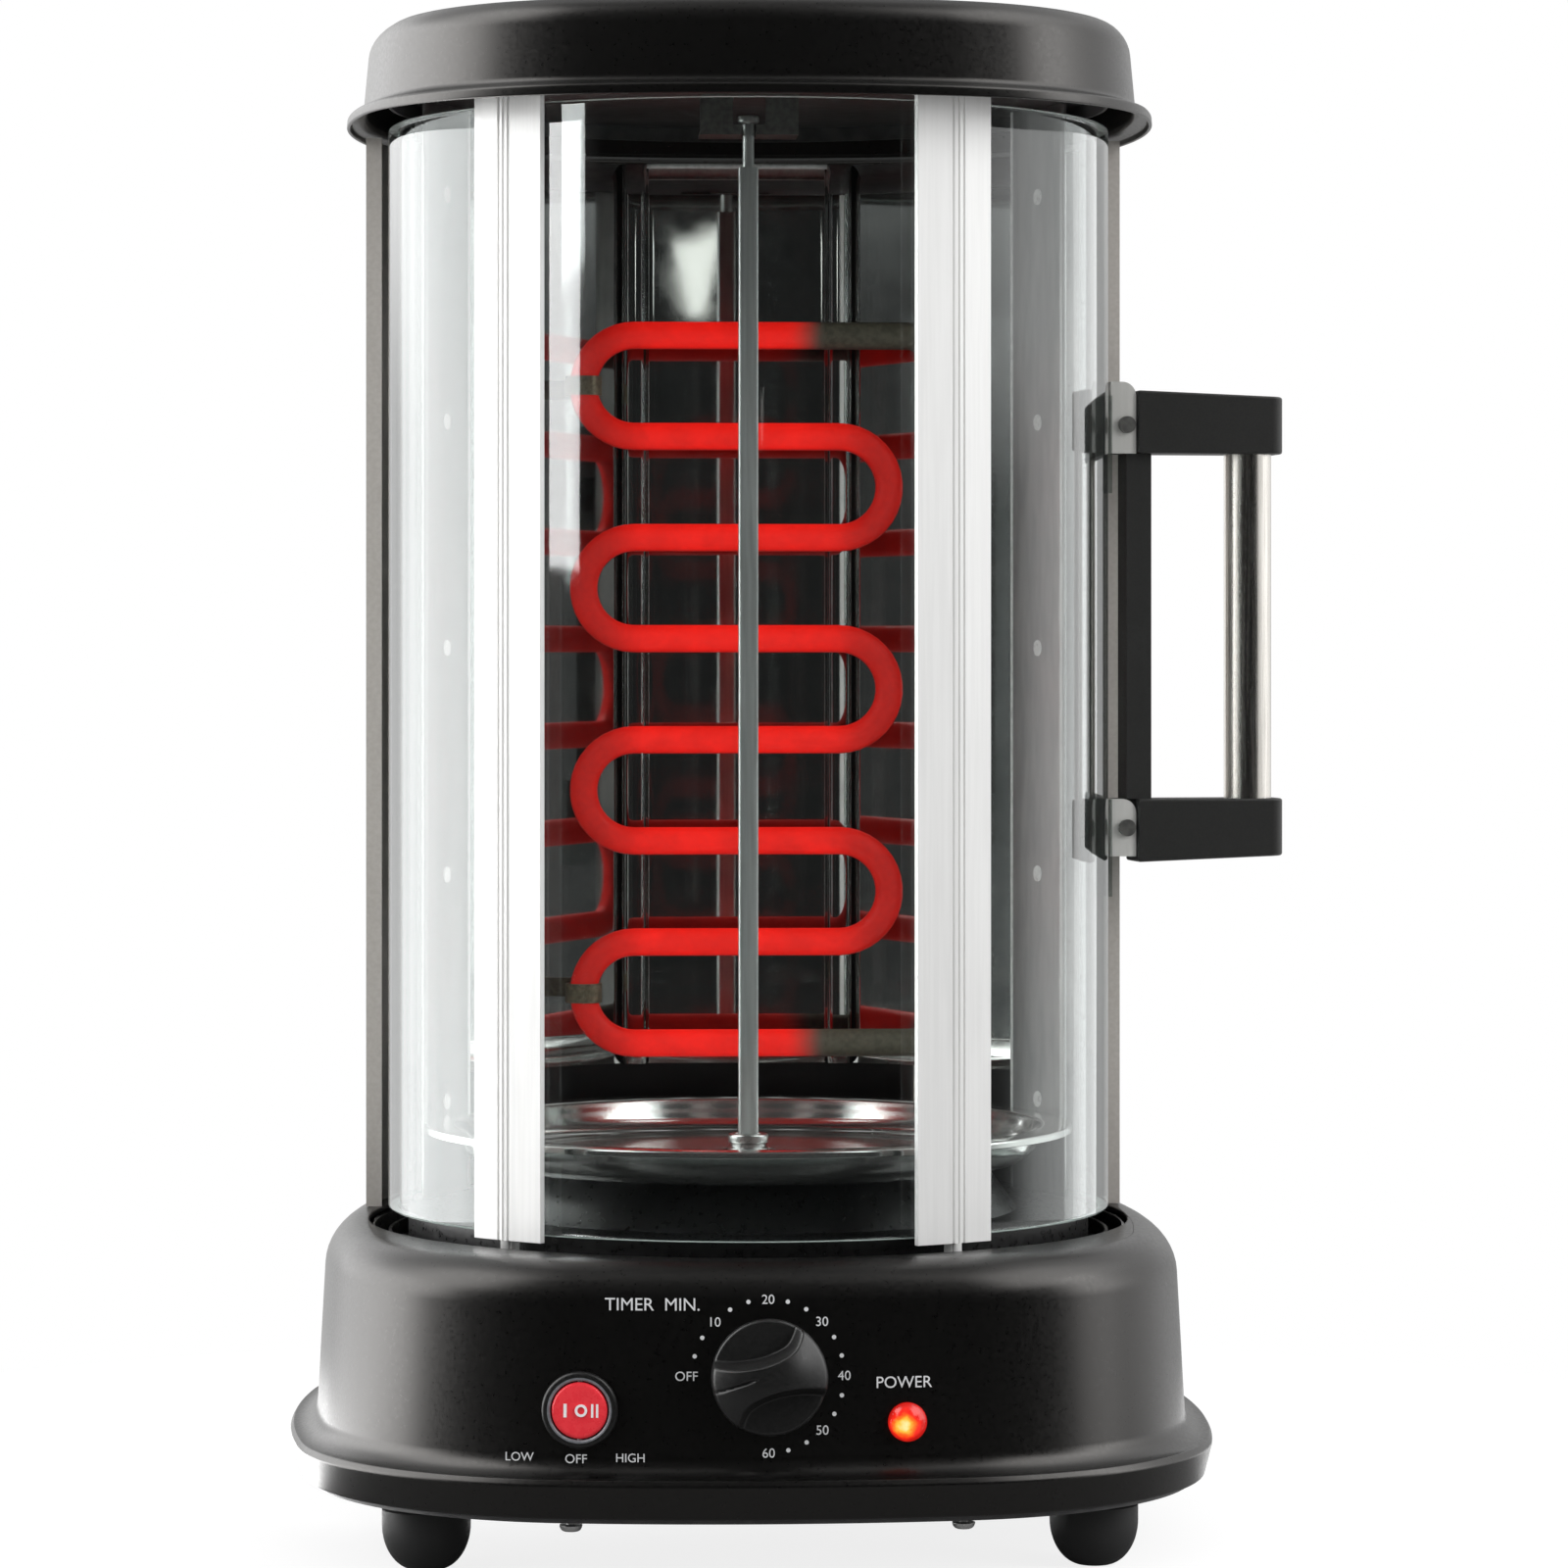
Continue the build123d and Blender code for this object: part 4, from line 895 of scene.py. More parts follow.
@dataclass
class Base:
    """Pressed base with its rubber feet."""

    plan: Plan = Plan(139.5, 92.0, 400.0)
    rim_low: float = 21.5
    rim_edge: float = 31.3
    rim_taper: float = 2.5
    rim_step: float = 1.7
    ledge: float = 1.0
    skirt: float = 4.0
    flange: float = 14.0
    flare: float = 7.0
    wall_foot: Pair = (8.0, 40.0)
    wall_top: Pair = (10.5, 80.0)
    shoulder: float = 13.0
    crest: float = 93.0
    opening: float = 115.5
    wall: float = 1.5
    lip: float = 0.75
    lip_steps: int = 9
    nose: float = 13.2
    foot_flat: float = 0.26
    foot_start: float = 0.5
    foot_ring: tuple[float, ...] = (2.4, 2.0, 1.2, 0.8)
    foot_ring_depth: float = 0.7
    screw_head: float = 3.4
    screw_crown: float = 0.8
    screw_levels: Pair = (1.9, 2.0)
    screw_shank: float = 1.4
    screw_spots: Pairs = (
        (55.6, 125.5), (55.6, -125.5), (-55.6, 125.5), (-55.6, -125.5), (129.5, 0.0), (-129.5, 0.0))

    def inset_at(self, height: float | Array) -> float | Array:
        """Inset of the sloping wall at a height."""
        slope = (self.wall_top[0] - self.wall_foot[0]) / (self.wall_top[1] - self.wall_foot[1])
        return self.wall_foot[0] + slope * (height - self.wall_foot[1])

    def wall_point(self, across: Array, height: Array, proud: Array) -> Array:
        """Points on the front wall: the side arc's centre plus its radius there and how far they stand out.

        Args:
            across: Places across the grill.
            height: Heights.
            proud: How far the points stand out of the wall.

        Returns:
            Points in the grill's frame.
        """
        reach = self.plan.side - self.plan.half
        radius = self.plan.side - self.inset_at(height)
        swing = np.arcsin(across / radius)
        far = radius + proud
        return np.stack([far * np.sin(swing), reach - far * np.cos(swing), height], -1)

    def seat(self, across: float, height: float) -> Seat:
        """Seat on the front wall, square to it.

        Args:
            across: Place across the grill.
            height: Height of the seat.

        Returns:
            The seat.
        """
        radius = self.plan.side - self.inset_at(height)
        swing = math.asin(across / radius)
        tilt = math.atan2(self.wall_top[0] - self.wall_foot[0], self.wall_top[1] - self.wall_foot[1])
        origin = self.wall_point(np.array(across), np.array(height), np.array(0.0))
        right = (math.cos(swing), math.sin(swing), 0.0)
        out = (math.sin(swing) * math.cos(tilt), -math.cos(swing) * math.cos(tilt), math.sin(tilt))
        return Seat(tuple(origin), right, tuple(np.cross(out, right)), out)

    def shell(self) -> Patch:
        """Closed pressing: outer profile, land to the round opening, rolled lip and inner profile.

        Returns:
            The patch, wrapped both ways.
        """
        top_inset = float(self.inset_at(self.crest))
        flat = self.wall_top[0] + self.shoulder
        step = self.rim_edge + self.rim_step
        outer = rounded((
            (self.flange, self.rim_low, 0.0),
            (self.rim_taper, self.rim_low, 1.4),
            (0.0, self.rim_edge, 1.6),
            (self.ledge, step, 0.5),
            (self.wall_foot[0], step, self.flare - 0.6),
            (top_inset, self.crest, self.shoulder),
            (flat, self.crest, 0.0),
        ), steps=12)
        under = self.crest - self.wall
        inner = rounded((
            (flat + self.wall, under, 0.0),
            (top_inset + self.wall, under, self.shoulder - self.wall),
            (self.wall_foot[0] + self.wall, step + self.wall, self.flare / 2),
            (self.skirt, self.rim_edge, 0.0),
            (self.skirt, self.rim_low + self.wall, 0.0),
            (self.flange, self.rim_low + self.wall, 0.0),
        ), steps=8)
        points, _ = self.plan.ring()
        way = points / np.linalg.norm(points, axis=1, keepdims=True)
        turn = np.linspace(np.pi / 2, 3 * np.pi / 2, self.lip_steps)[:, None]
        lip_radius = self.opening + self.lip + self.lip * np.cos(turn)
        lip_height = self.crest - self.lip + self.lip * np.sin(turn)
        lip_height = np.broadcast_to(lip_height[..., None], (self.lip_steps, len(way), 1))
        lip = np.concatenate([lip_radius[..., None] * way, lip_height], -1)
        grid = np.concatenate([self.plan.sweep(outer), lip, self.plan.sweep(inner)])
        return grid_patch(grid, wrap_rows=True, wrap_cols=True)

    def screws(self) -> list[Patch]:
        """Domed screws under the base plate: a turned head on a shank, at each screw's place.

        Returns:
            One patch for each screw.
        """
        low, high = (float(corner.z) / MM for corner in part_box("base_screws"))
        edge, under = (low + level for level in self.screw_levels)
        profile = rounded((
            (0.0, low, 0.0),
            (self.screw_head * self.screw_crown, low, 1.5),
            (self.screw_head, edge, 0.2),
            (self.screw_shank, under, 0.0),
            (self.screw_shank, high, 0.0),
            (0.0, high, 0.0),
        ), steps=6)
        head = revolve(profile, steps=28)
        return [head.shifted(*spot, 0.0) for spot in self.screw_spots]

    def build(self) -> None:
        """Builds and fits the shell, screws and feet."""
        shell = make_piece("base_pressing", [self.shell()])
        fit(shell, BLACK_PAINT, Body.HOUSING, Slot.BLACK_PAINT, "base_shell")
        screws = make_piece("base_dome_screws", self.screws())
        fit(screws, STEEL, Body.HOUSING, Slot.FASTENER_STEEL, "base_screws")
        for name in ("front_left", "front_right", "rear_left", "rear_right"):
            self.foot(name)

    def foot(self, name: str) -> None:
        """Ball-ended rubber foot: a turned profile with a round nose and a small flat, ringed near its top.

        Args:
            name: Which foot.
        """
        low, high = (np.array(corner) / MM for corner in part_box(f"foot_{name}"))
        middle = (low + high) / 2
        radius = (high[0] - low[0]) / 2
        nose = np.radians(np.linspace(0, 90, 18))
        flat = radius * self.foot_flat
        curve = np.column_stack([flat + (radius - flat) * np.sin(nose), self.nose * (1 - np.cos(nose))])
        ring = [high[2] - drop for drop in self.foot_ring]
        neck = radius - self.foot_ring_depth
        rest = rounded((
            (radius, self.nose + self.foot_start, 0.0),
            (radius, ring[0], 0.4),
            (neck, ring[1], 0.3),
            (neck, ring[2], 0.3),
            (radius, ring[3], 0.3),
            (radius, high[2], 0.0),
            (0.0, high[2], 0.0),
        ), steps=4)
        patch = revolve(np.concatenate([[(0.0, 0.0)], curve, rest]), steps=64)
        piece = make_piece(f"foot_ball_{name}", [patch.shifted(middle[0], middle[1], 0.0)])
        fit(piece, RUBBER, Body.HOUSING, Slot.RUBBER_BLACK, f"foot_{name}")


@dataclass
class Lid:
    """Pressed lid with a flared, rolled lip."""

    plan: Plan = Plan(122.5, 84.0, 235.0)
    low: float = 424.0
    shoulder: float = 444.0
    shoulder_inset: float = 6.5
    lip_inset: float = 5.0
    lip_top: float = 427.4
    round: float = 9.0
    land: float = 2.0
    top_shares: Triple = (0.0, 0.35, 0.7)
    sheet: float = 1.2

    def shell(self) -> Patch:
        """Closed pressing from the middle of its top, out and down to the lip, and back inside.

        Returns:
            The patch, wrapped round the plan.
        """
        crest = self.shoulder + self.round
        flat = self.shoulder_inset + self.round
        slope = (self.shoulder_inset - self.lip_inset) / (self.shoulder - self.lip_top)
        crown = self.shoulder_inset + slope * self.round
        outer = rounded((
            (flat + self.land, crest, 0.0),
            (crown, crest, self.round - 0.6),
            (self.lip_inset, self.lip_top + 1.0, 2.4),
            (0.2, self.lip_top - 0.4, 1.1),
            (0.0, self.low, 0.5),
            (1.1, self.low, 0.4),
            (1.3, self.lip_top - 1.5, 0.9),
            (self.lip_inset + self.sheet, self.lip_top - 0.2, 1.6),
            (crown + self.sheet, crest - self.sheet, self.round - 1.8),
            (flat + self.land, crest - self.sheet, 0.0),
        ), steps=10)
        grid = self.plan.sweep(outer)
        shares = np.array(self.top_shares)[:, None, None]
        shrink = np.concatenate([shares, shares, np.ones_like(shares)], -1)
        grid = np.concatenate([grid[:1] * shrink, grid, (grid[-1:] * shrink)[::-1]])
        return grid_patch(grid, wrap_cols=True)

    def build(self) -> None:
        """Builds and fits the lid."""
        shell = make_piece("lid_pressing", [self.shell()])
        fit(shell, LID_PAINT, Body.HOUSING, Slot.BLACK_PAINT, "lid_shell")


@dataclass
class GlassRing:
    """Three curved panes with their joining strips."""

    outer: float = 110.0
    inner: float = 106.5
    low: float = 96.5
    high: float = 424.5
    edge: float = 0.8
    edge_share: float = 0.7
    left_seam: float = -41.75
    right_seam: float = 30.25
    left_end: float = -113.75
    right_end: float = 102.25
    tuck: float = 1.0
    seal: Pair = (0.9, 4.5)
    seal_gap: float = 0.2
    liner: Pair = (104.7, 106.1)
    liner_angles: Pair = (4.0, 4.5)
    face: float = 112.4
    strip_wall: float = 1.9
    strip_round: float = 0.18
    strip_angles: Triple = (-7.0, 0.0, 6.05)
    strip_low: float = 94.7
    strip_high: float = 428.0
    web_half: float = 1.2
    web_reach: float = 106.2
    grooves: Triple = (-1.86, 0.0, 1.86)
    groove_width: float = 0.8
    groove_depth: float = 0.5

    def pane(self, start: float, stop: float) -> Patch:
        """Pane: a thin upright rectangle with round corners carried round the spit between two angles.

        Args:
            start: First angle.
            stop: Last angle.

        Returns:
            The patch.
        """
        corners = rectangle(self.inner, self.outer, self.low, self.high)
        profile = rounded([(*corner, self.edge) for corner in corners], closed=True, steps=6)
        return revolve(profile, start, stop, steps=72, loop=True)

    def sector(self, radii: Pair, seam: float, span: Array) -> Patch:
        """Curved bar behind a strip: an upright rectangle carried round the spit between two angles.

        Args:
            radii: Inner and outer radius.
            seam: Angle of the seam.
            span: Two angles from the seam.

        Returns:
            The patch.
        """
        profile = rectangle(*radii, self.low, self.high)
        return revolve(profile, *np.sort(seam + span), steps=12, loop=True)

    def strip(self) -> Patch:
        """Joining strip at the front: two flat faces that meet at the seam, three grooves and a web behind.

        Returns:
            The patch.
        """
        angles = np.radians(self.strip_angles)
        corners = np.column_stack([self.face * np.sin(angles), self.face * np.cos(angles)])
        steps = np.array([-0.5, -0.5, 0.5, 0.5]) * self.groove_width
        cuts = (np.array(self.grooves)[:, None] + steps).ravel()
        depths = np.tile([0.0, self.groove_depth, self.groove_depth, 0.0], len(self.grooves))
        front = np.concatenate([corners[:1, 0], cuts, corners[-1:, 0]])
        proud = np.interp(front, corners[:, 0], corners[:, 1]) - np.concatenate([[0.0], depths, [0.0]])
        web = self.web_half
        back = np.array([corners[-1, 0], web, web, -web, -web, corners[0, 0]])
        hidden = np.interp(back, corners[:, 0], corners[:, 1]) - self.strip_wall
        hidden[2:4] = self.web_reach
        outline = np.column_stack([np.concatenate([front, back]), -np.concatenate([proud, hidden])])
        return prism(outline, self.strip_low, self.strip_high)

    def show_edges(self, piece: bpy.types.Object) -> None:
        """Gives a pane's upright ends a dark finish, and its upper and lower edges a ground one.

        Args:
            piece: Pane that wears its main finish.
        """
        piece.data.materials.append(GLASS_EDGE.material())
        piece.data.materials.append(GLASS_END.material())
        count = len(piece.data.polygons)
        normals, middles = np.empty(count * 3), np.empty(count * 3)
        piece.data.polygons.foreach_get("normal", normals)
        piece.data.polygons.foreach_get("center", middles)
        normals, middles = normals.reshape(-1, 3), middles.reshape(-1, 3)[:, :2]
        radial = np.abs((normals[:, :2] * middles).sum(1)) / np.linalg.norm(middles, axis=1)
        kind = np.where(np.abs(normals[:, 2]) > self.edge_share, 1, 2)
        slots = np.where(radial < self.edge_share, kind, 0).astype(np.int32)
        piece.data.polygons.foreach_set("material_index", slots)

    def build(self) -> None:
        """Builds and fits the panes, and the strips with their seals and liners."""
        margin = self.seal[1] + self.seal_gap
        for name, start, stop in (
            ("left", self.left_end, self.left_seam - self.tuck),
            ("centre", self.left_seam + margin, self.right_seam - margin),
            ("right", self.right_seam + self.tuck, self.right_end),
        ):
            piece = make_piece(f"curved_pane_{name}", [self.pane(start, stop)])
            fit(piece, GLASS, Body.GLASS_RING, Slot.CLEAR_GLASS, f"pane_{name}")
            self.show_edges(piece)
        for name, patch, seam in (
            ("left", mirrored(self.strip()), self.left_seam),
            ("right", self.strip(), self.right_seam),
        ):
            piece = make_piece(f"grooved_strip_{name}", [turned(patch, seam)])
            soften(piece, self.strip_round, 2)
            fit(piece, ALUMINIUM, Body.GLASS_RING, Slot.SATIN_ALUMINIUM, f"strip_{name}")
        near, far = self.liner_angles
        for name, seam, side in (("left", self.left_seam, 1), ("right", self.right_seam, -1)):
            seal = self.sector((self.inner, self.outer), seam, np.array(self.seal) * side)
            piece = make_piece(f"joint_seal_{name}", [seal])
            fit(piece, RUBBER, Body.GLASS_RING, Slot.RUBBER_BLACK, f"seal_{name}")
            liner = self.sector(self.liner, seam, np.array([-far, near]) * side)
            piece = make_piece(f"joint_liner_{name}", [liner])
            fit(piece, ALUMINIUM, Body.GLASS_RING, Slot.SATIN_ALUMINIUM, f"inner_strip_{name}")


@dataclass
class Handle:
    """Door handle's two moulded arms and its brushed tube."""

    angle: float = 96.5
    start: float = 120.3
    root: float = 113.8
    tip: float = 166.8
    half: float = 8.5
    root_half: float = 4.7
    root_overlap: float = 1.0
    root_round: float = 0.8
    tip_round: float = 4.0
    arm_round: float = 0.9
    height: float = 17.7
    root_rise: float = 1.8
    lower: float = 202.3
    upper: float = 326.5
    grip: float = 7.35
    grip_bore: float = 5.85
    grip_center: float = 157.0

    def arm(self, low: float, root_side: int) -> list[Patch]:
        """Arm at the front: a plan with a round tip, whose far edge climbs towards the root.

        Args:
            low: Underside of the arm.
            root_side: 1 if the top climbs and -1 if the underside drops.

        Returns:
            Patches of the arm and its root.
        """
        plan = rounded((
            (-self.half, -self.start, self.root_round),
            (-self.half, -self.tip, self.tip_round),
            (self.half, -self.tip, self.tip_round),
            (self.half, -self.start, self.root_round),
        ), closed=True, steps=8)
        climb = self.root_rise * (self.tip + plan[:, 1]) / (self.tip - self.start)
        high = low + self.height
        body = prism(plan, low - climb if root_side < 0 else low, high + climb if root_side > 0 else high)
        half, inside = self.root_half, -self.start - self.root_overlap
        neck = np.array([(-half, -self.root), (-half, inside), (half, inside), (half, -self.root)])
        return [turned(patch, self.angle) for patch in (body, prism(neck, low, high))]

    def build(self) -> None:
        """Builds and fits the arms and the tube."""
        for name, low, side in (("upper", self.upper, 1), ("lower", self.lower, -1)):
            piece = make_piece(f"grip_arm_{name}", self.arm(low, side))
            soften(piece, self.arm_round)
            fit(piece, ARM_PLASTIC, Body.GLASS_RING, Slot.BLACK_PLASTIC, f"handle_arm_{name}")
        low = self.lower + self.height
        grip = revolve(rectangle(self.grip_bore, self.grip, low, self.upper), steps=64, loop=True)
        grip = turned(grip.shifted(0.0, -self.grip_center, 0.0), self.angle)
        piece = make_piece("brushed_tube_grip", [grip])
        fit(piece, BRUSHED, Body.GLASS_RING, Slot.BRUSHED_TUBE, "handle_tube")


@dataclass
class Heater:
    """Element bent into level runs, in front of a folded mirror of three sheets."""

    depth: float = 50.0
    radius: float = 4.35
    top: float = 365.0
    pitch: float = 31.86
    runs: int = 8
    left: float = -33.8
    right: float = 30.8
    cold_start: float = 26.0
    run_steps: int = 16
    back: float = 86.0
    rib_inner: float = 29.0
    rib_outer: float = 37.0
    rib_depth: float = 3.0
    rib_ease: float = 2.5
    rib_slope: float = 1.2
    fold_drop: float = 3.0
    fold_reach: float = 3.4
    fold_lip: float = 1.5
    bead: float = 0.6
    corner: Pair = (86.5, 53.0)
    corner_round: float = 3.0
    front: Pair = (100.0, 22.0)
    panel: Pair = (133.0, 422.0)
    band: Pair = (96.0, 436.0)
    sheet: float = 0.8

    def rod_path(self) -> Array:
        """Middle line of the rod: level runs joined by half circles as wide as the pitch.

        Returns:
            Points from the upper cold end to the lower one.
        """
        swing = np.linspace(0, np.pi, 20)
        legs = []
        for index in range(self.runs):
            level = self.top - index * self.pitch
            side = -1 if index % 2 == 0 else 1
            begin = self.cold_start if index == 0 else (self.right if side < 0 else self.left)
            finish = self.cold_start if index == self.runs - 1 else (self.left if side < 0 else self.right)
            run = np.linspace(begin, finish, self.run_steps)
            legs.append(np.column_stack([run, np.full(self.run_steps, level)]))
            if index < self.runs - 1:
                bend = np.column_stack([finish + side * self.pitch / 2 * np.sin(swing),
                                        level - self.pitch / 2 * (1 - np.cos(swing))])
                legs.append(bend[1:-1])
        line = np.concatenate(legs)
        return np.column_stack([line[:, 0], np.full(len(line), self.depth), line[:, 1]])

    def sheet_patch(self, path: Array, low: float, high: float) -> Patch:
        """Upright sheet over a path in plan.

        Args:
            path: Points in plan.
            low: Lower edge.
            high: Upper edge.

        Returns:
            The open patch.
        """
        levels = np.linspace(low, high, 30)
        across, height = np.meshgrid(path[:, 0], levels)
        depth = np.broadcast_to(path[:, 1], across.shape)
        return grid_patch(np.stack([across, depth, height], -1))

    def fold_patch(self) -> Patch:
        """Top edge of the middle sheet, rolled forward: a quarter turn and a short lip carried across.

        Returns:
            The open patch.
        """
        top, near = self.panel[1], self.back - self.fold_reach
        path = rounded((
            (self.back, top - self.fold_drop, 0.0),
            (self.back, top, 1.4),
            (near, top, 1.0),
            (near, top - self.fold_lip, 0.0),
        ), steps=7)
        across = np.linspace(-self.rib_inner, self.rib_inner, 24)
        depth, x = np.meshgrid(path[:, 0], across)
        return grid_patch(np.stack([x, depth, np.broadcast_to(path[:, 1], x.shape)], -1))

    def back_path(self) -> Array:
        """Front face of the middle sheet in plan, with a folded rib at each side.

        Returns:
            Points from the left edge to the right one.
        """
        crest = self.back - self.rib_depth
        start = self.rib_inner - self.rib_ease
        right = rounded((
            (start, self.back, 0.0),
            (self.rib_inner, self.back, 1.2),
            (self.rib_inner + self.rib_slope, crest, 1.4),
            (self.rib_outer - self.rib_slope, crest, 1.4),
            (self.rib_outer, self.back, 0.0),
        ), steps=6)
        middle = np.linspace(-1, 1, 40)[1:-1, None] * np.array([[start, 0.0]])
        return np.concatenate([right[::-1] * (-1, 1), middle + (0.0, self.back), right])

    def side_path(self) -> Array:
        """Inner face of the right side sheet in plan, from the middle sheet to its front edge.

        Returns:
            Points along the sheet.
        """
        corners = ((self.rib_outer, self.back, 0.0), (*self.corner, self.corner_round), (*self.front, 0.0))
        bend = rounded(corners, steps=8)
        near, far = np.linspace(bend[0], bend[1], 16), np.linspace(bend[-2], bend[-1], 10)
        return np.concatenate([near[:-1], bend[1:-1], far[1:]])

    def bead_patch(self, spot: Array) -> Patch:
        """Thin upright tube up the fold between a side sheet and its band, whose pale finish paints the
        fold's highlight.

        Args:
            spot: Place of the fold in plan.

        Returns:
            The capped patch.
        """
        inward = spot * (1 - self.bead / np.hypot(*spot))
        heights = np.linspace(*self.band, 12)
        path = np.column_stack([np.tile(inward, (len(heights), 1)), heights])
        return tube(path, (0.0, 1.0, 0.0), self.bead, sides=12)

    def add_sheet(self, name: str, patch: Patch, finish: Finish, *nodes: str) -> None:
        """Builds and fits one sheet with its wall.

        Args:
            name: Name of the piece.
            patch: Its visible face.
            finish: Its finish.
            *nodes: Nodes that it replaces.
        """
        piece = make_piece(name, [patch], closed=False)
        thicken(piece, self.sheet, 1.0)
        fit(piece, finish, Body.HOUSING, Slot.POLISHED_STEEL, *nodes)

    def build(self) -> None:
        """Builds and fits the rod, the three sheets, their bands and the beads between them."""
        rod = make_piece("glowing_element", [tube(self.rod_path(), (0.0, 1.0, 0.0), self.radius)])
        fit(rod, HOT_ROD, Body.HOUSING, Slot.ELEMENT_HOT, "heating_element")
        middle = self.sheet_patch(self.back_path(), *self.panel)
        self.add_sheet("mirror_sheet_middle", middle, MIRROR, "reflector_back")
        lip = make_piece("mirror_top_fold", [self.fold_patch()], closed=False)
        thicken(lip, self.sheet / 2, 0.0)
        # The fold wears the pale finish as a painted highlight along the sheet's top edge.
        fit(lip, PALE_STEEL_AND_FOLD_HIGHLIGHT, Body.HOUSING, Slot.POLISHED_STEEL)
        path = self.side_path()
        fold = int(np.argmin(np.hypot(*(path - np.array(self.corner)).T)))
        right = (
            self.sheet_patch(path[:fold + 1], *self.panel),
            self.sheet_patch(path[fold:], *self.band),
            self.bead_patch(path[fold]),
        )
        left = tuple(mirrored(patch) for patch in right)
        for name, (sheet, band, bead) in (("right", right), ("left", left)):
            self.add_sheet(f"mirror_sheet_{name}", sheet, MIRROR, f"reflector_side_{name}")
            self.add_sheet(f"satin_band_{name}", band, BAND_STEEL)
            # Each bead is a painted highlight along its fold.
            fit(make_piece(f"band_fold_highlight_{name}", [bead]), PALE_STEEL_AND_FOLD_HIGHLIGHT, Body.HOUSING, Slot.POLISHED_STEEL)


@dataclass
class Spit:
    """Square spit in its hub, over a spun drip tray."""

    half: float = 3.0
    edge: float = 0.8
    foot: float = 113.3
    shoulder: float = 413.5
    neck: float = 1.8
    neck_root: float = 2.0
    head: float = 3.3
    head_low: float = 427.0
    head_high: float = 429.5
    slot: float = 2.6
    lip: float = 1.2
    hub: float = 6.2
    hub_low: float = 110.2
    hub_high: float = 118.0
    hub_groove: tuple[float, ...] = (115.4, 115.0, 114.0, 113.6)
    hub_groove_depth: float = 0.8
    socket_gap: float = 0.35
    socket_depth: float = 5.0
    shaft: float = 3.5
    shaft_low: float = 90.0
    tray_rim: float = 99.0
    tray_top: float = 121.5
    tray_floor: float = 110.0
    tray_knee: float = 86.2
    tray_round: float = 8.0
    tray_rim_width: float = 8.5
    tray_curl: float = 2.2
    tray_hole: float = 7.4
    tray_collar: float = 3.4
    tray_sheet: float = 0.8

    def bar(self) -> list[Patch]:
        """Square bar with eased corners, and a turned neck and head.

        Returns:
            Patches of the bar and of its neck and head.
        """
        corners = rectangle(-self.half, self.half, -self.half, self.half)
        square = rounded([(*corner, self.edge) for corner in corners], closed=True, steps=6)
        root = self.shoulder - self.neck_root
        neck = rounded((
            (0.0, root, 0.0),
            (self.neck, root, 0.0),
            (self.neck, self.head_low, 0.4),
            (self.head, self.head_low + 0.2, 0.5),
            (self.head, self.head_high, 0.9),
            (0.0, self.head_high, 0.0),
        ), steps=5)
        return [prism(square, self.foot, self.shoulder), revolve(neck, steps=40)]

    def hub_patch(self) -> Patch:
        """Drive hub: a turned collar with a groove, over its shaft.

        Returns:
            The patch.
        """
        socket = self.half * math.sqrt(2) + self.socket_gap
        floor = self.hub_high - self.socket_depth
        groove = self.hub_groove
        waist = self.hub - self.hub_groove_depth
        profile = rounded((
            (0.0, floor, 0.0),
            (socket, floor, 0.0),
            (socket, self.hub_high, 0.4),
            (self.hub, self.hub_high, 0.7),
            (self.hub, groove[0], 0.3),
            (waist, groove[1], 0.2),
            (waist, groove[2], 0.2),
            (self.hub, groove[3], 0.3),
            (self.hub, self.hub_low, 0.4),
            (self.shaft, self.hub_low, 0.0),
            (self.shaft, self.shaft_low, 0.3),
            (0.0, self.shaft_low, 0.0),
        ), steps=5)
        return revolve(profile, steps=56)

    def tray(self) -> Patch:
        """Drip tray: a spun bowl with a flat rim, a curled edge and a collar round its hole.

        Returns:
            The patch.
        """
        wall = self.tray_sheet
        rim_start = self.tray_rim - self.tray_rim_width
        top, under = self.tray_top, self.tray_top - wall
        curl, collar = top - self.tray_curl, self.tray_floor + self.tray_collar
        profile = rounded((
            (self.tray_hole, self.tray_floor, 0.0),
            (self.tray_knee, self.tray_floor, self.tray_round + wall),
            (rim_start, under, 1.0),
            (self.tray_rim - wall, under, 0.4),
            (self.tray_rim - wall, curl, 0.0),
            (self.tray_rim, curl, 0.3),
            (self.tray_rim, top, 0.8),
            (rim_start - wall, top, 1.6),
            (self.tray_knee - wall, self.tray_floor + wall, self.tray_round),
            (self.tray_hole + wall, self.tray_floor + wall, 0.5),
            (self.tray_hole + wall, collar, 0.3),
            (self.tray_hole, collar, 0.3),
        ), closed=True, steps=8)
        return revolve(profile, steps=160, loop=True)

    def bracket_lip(self) -> list[Patch]:
        """Folded edge along the foot of the spit's bracket, on both sides of its slot, whose pale finish
        paints the edge's highlight.

        Returns:
            One bar for each side.
        """
        low, high = (np.array(corner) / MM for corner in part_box("spit_bracket"))
        bars = []
        for left, right in ((low[0], -self.slot), (self.slot, high[0])):
            outline = rectangle(left, right, high[1] - self.lip, high[1])
            bars.append(prism(outline, low[2], low[2] + self.lip))
        return bars

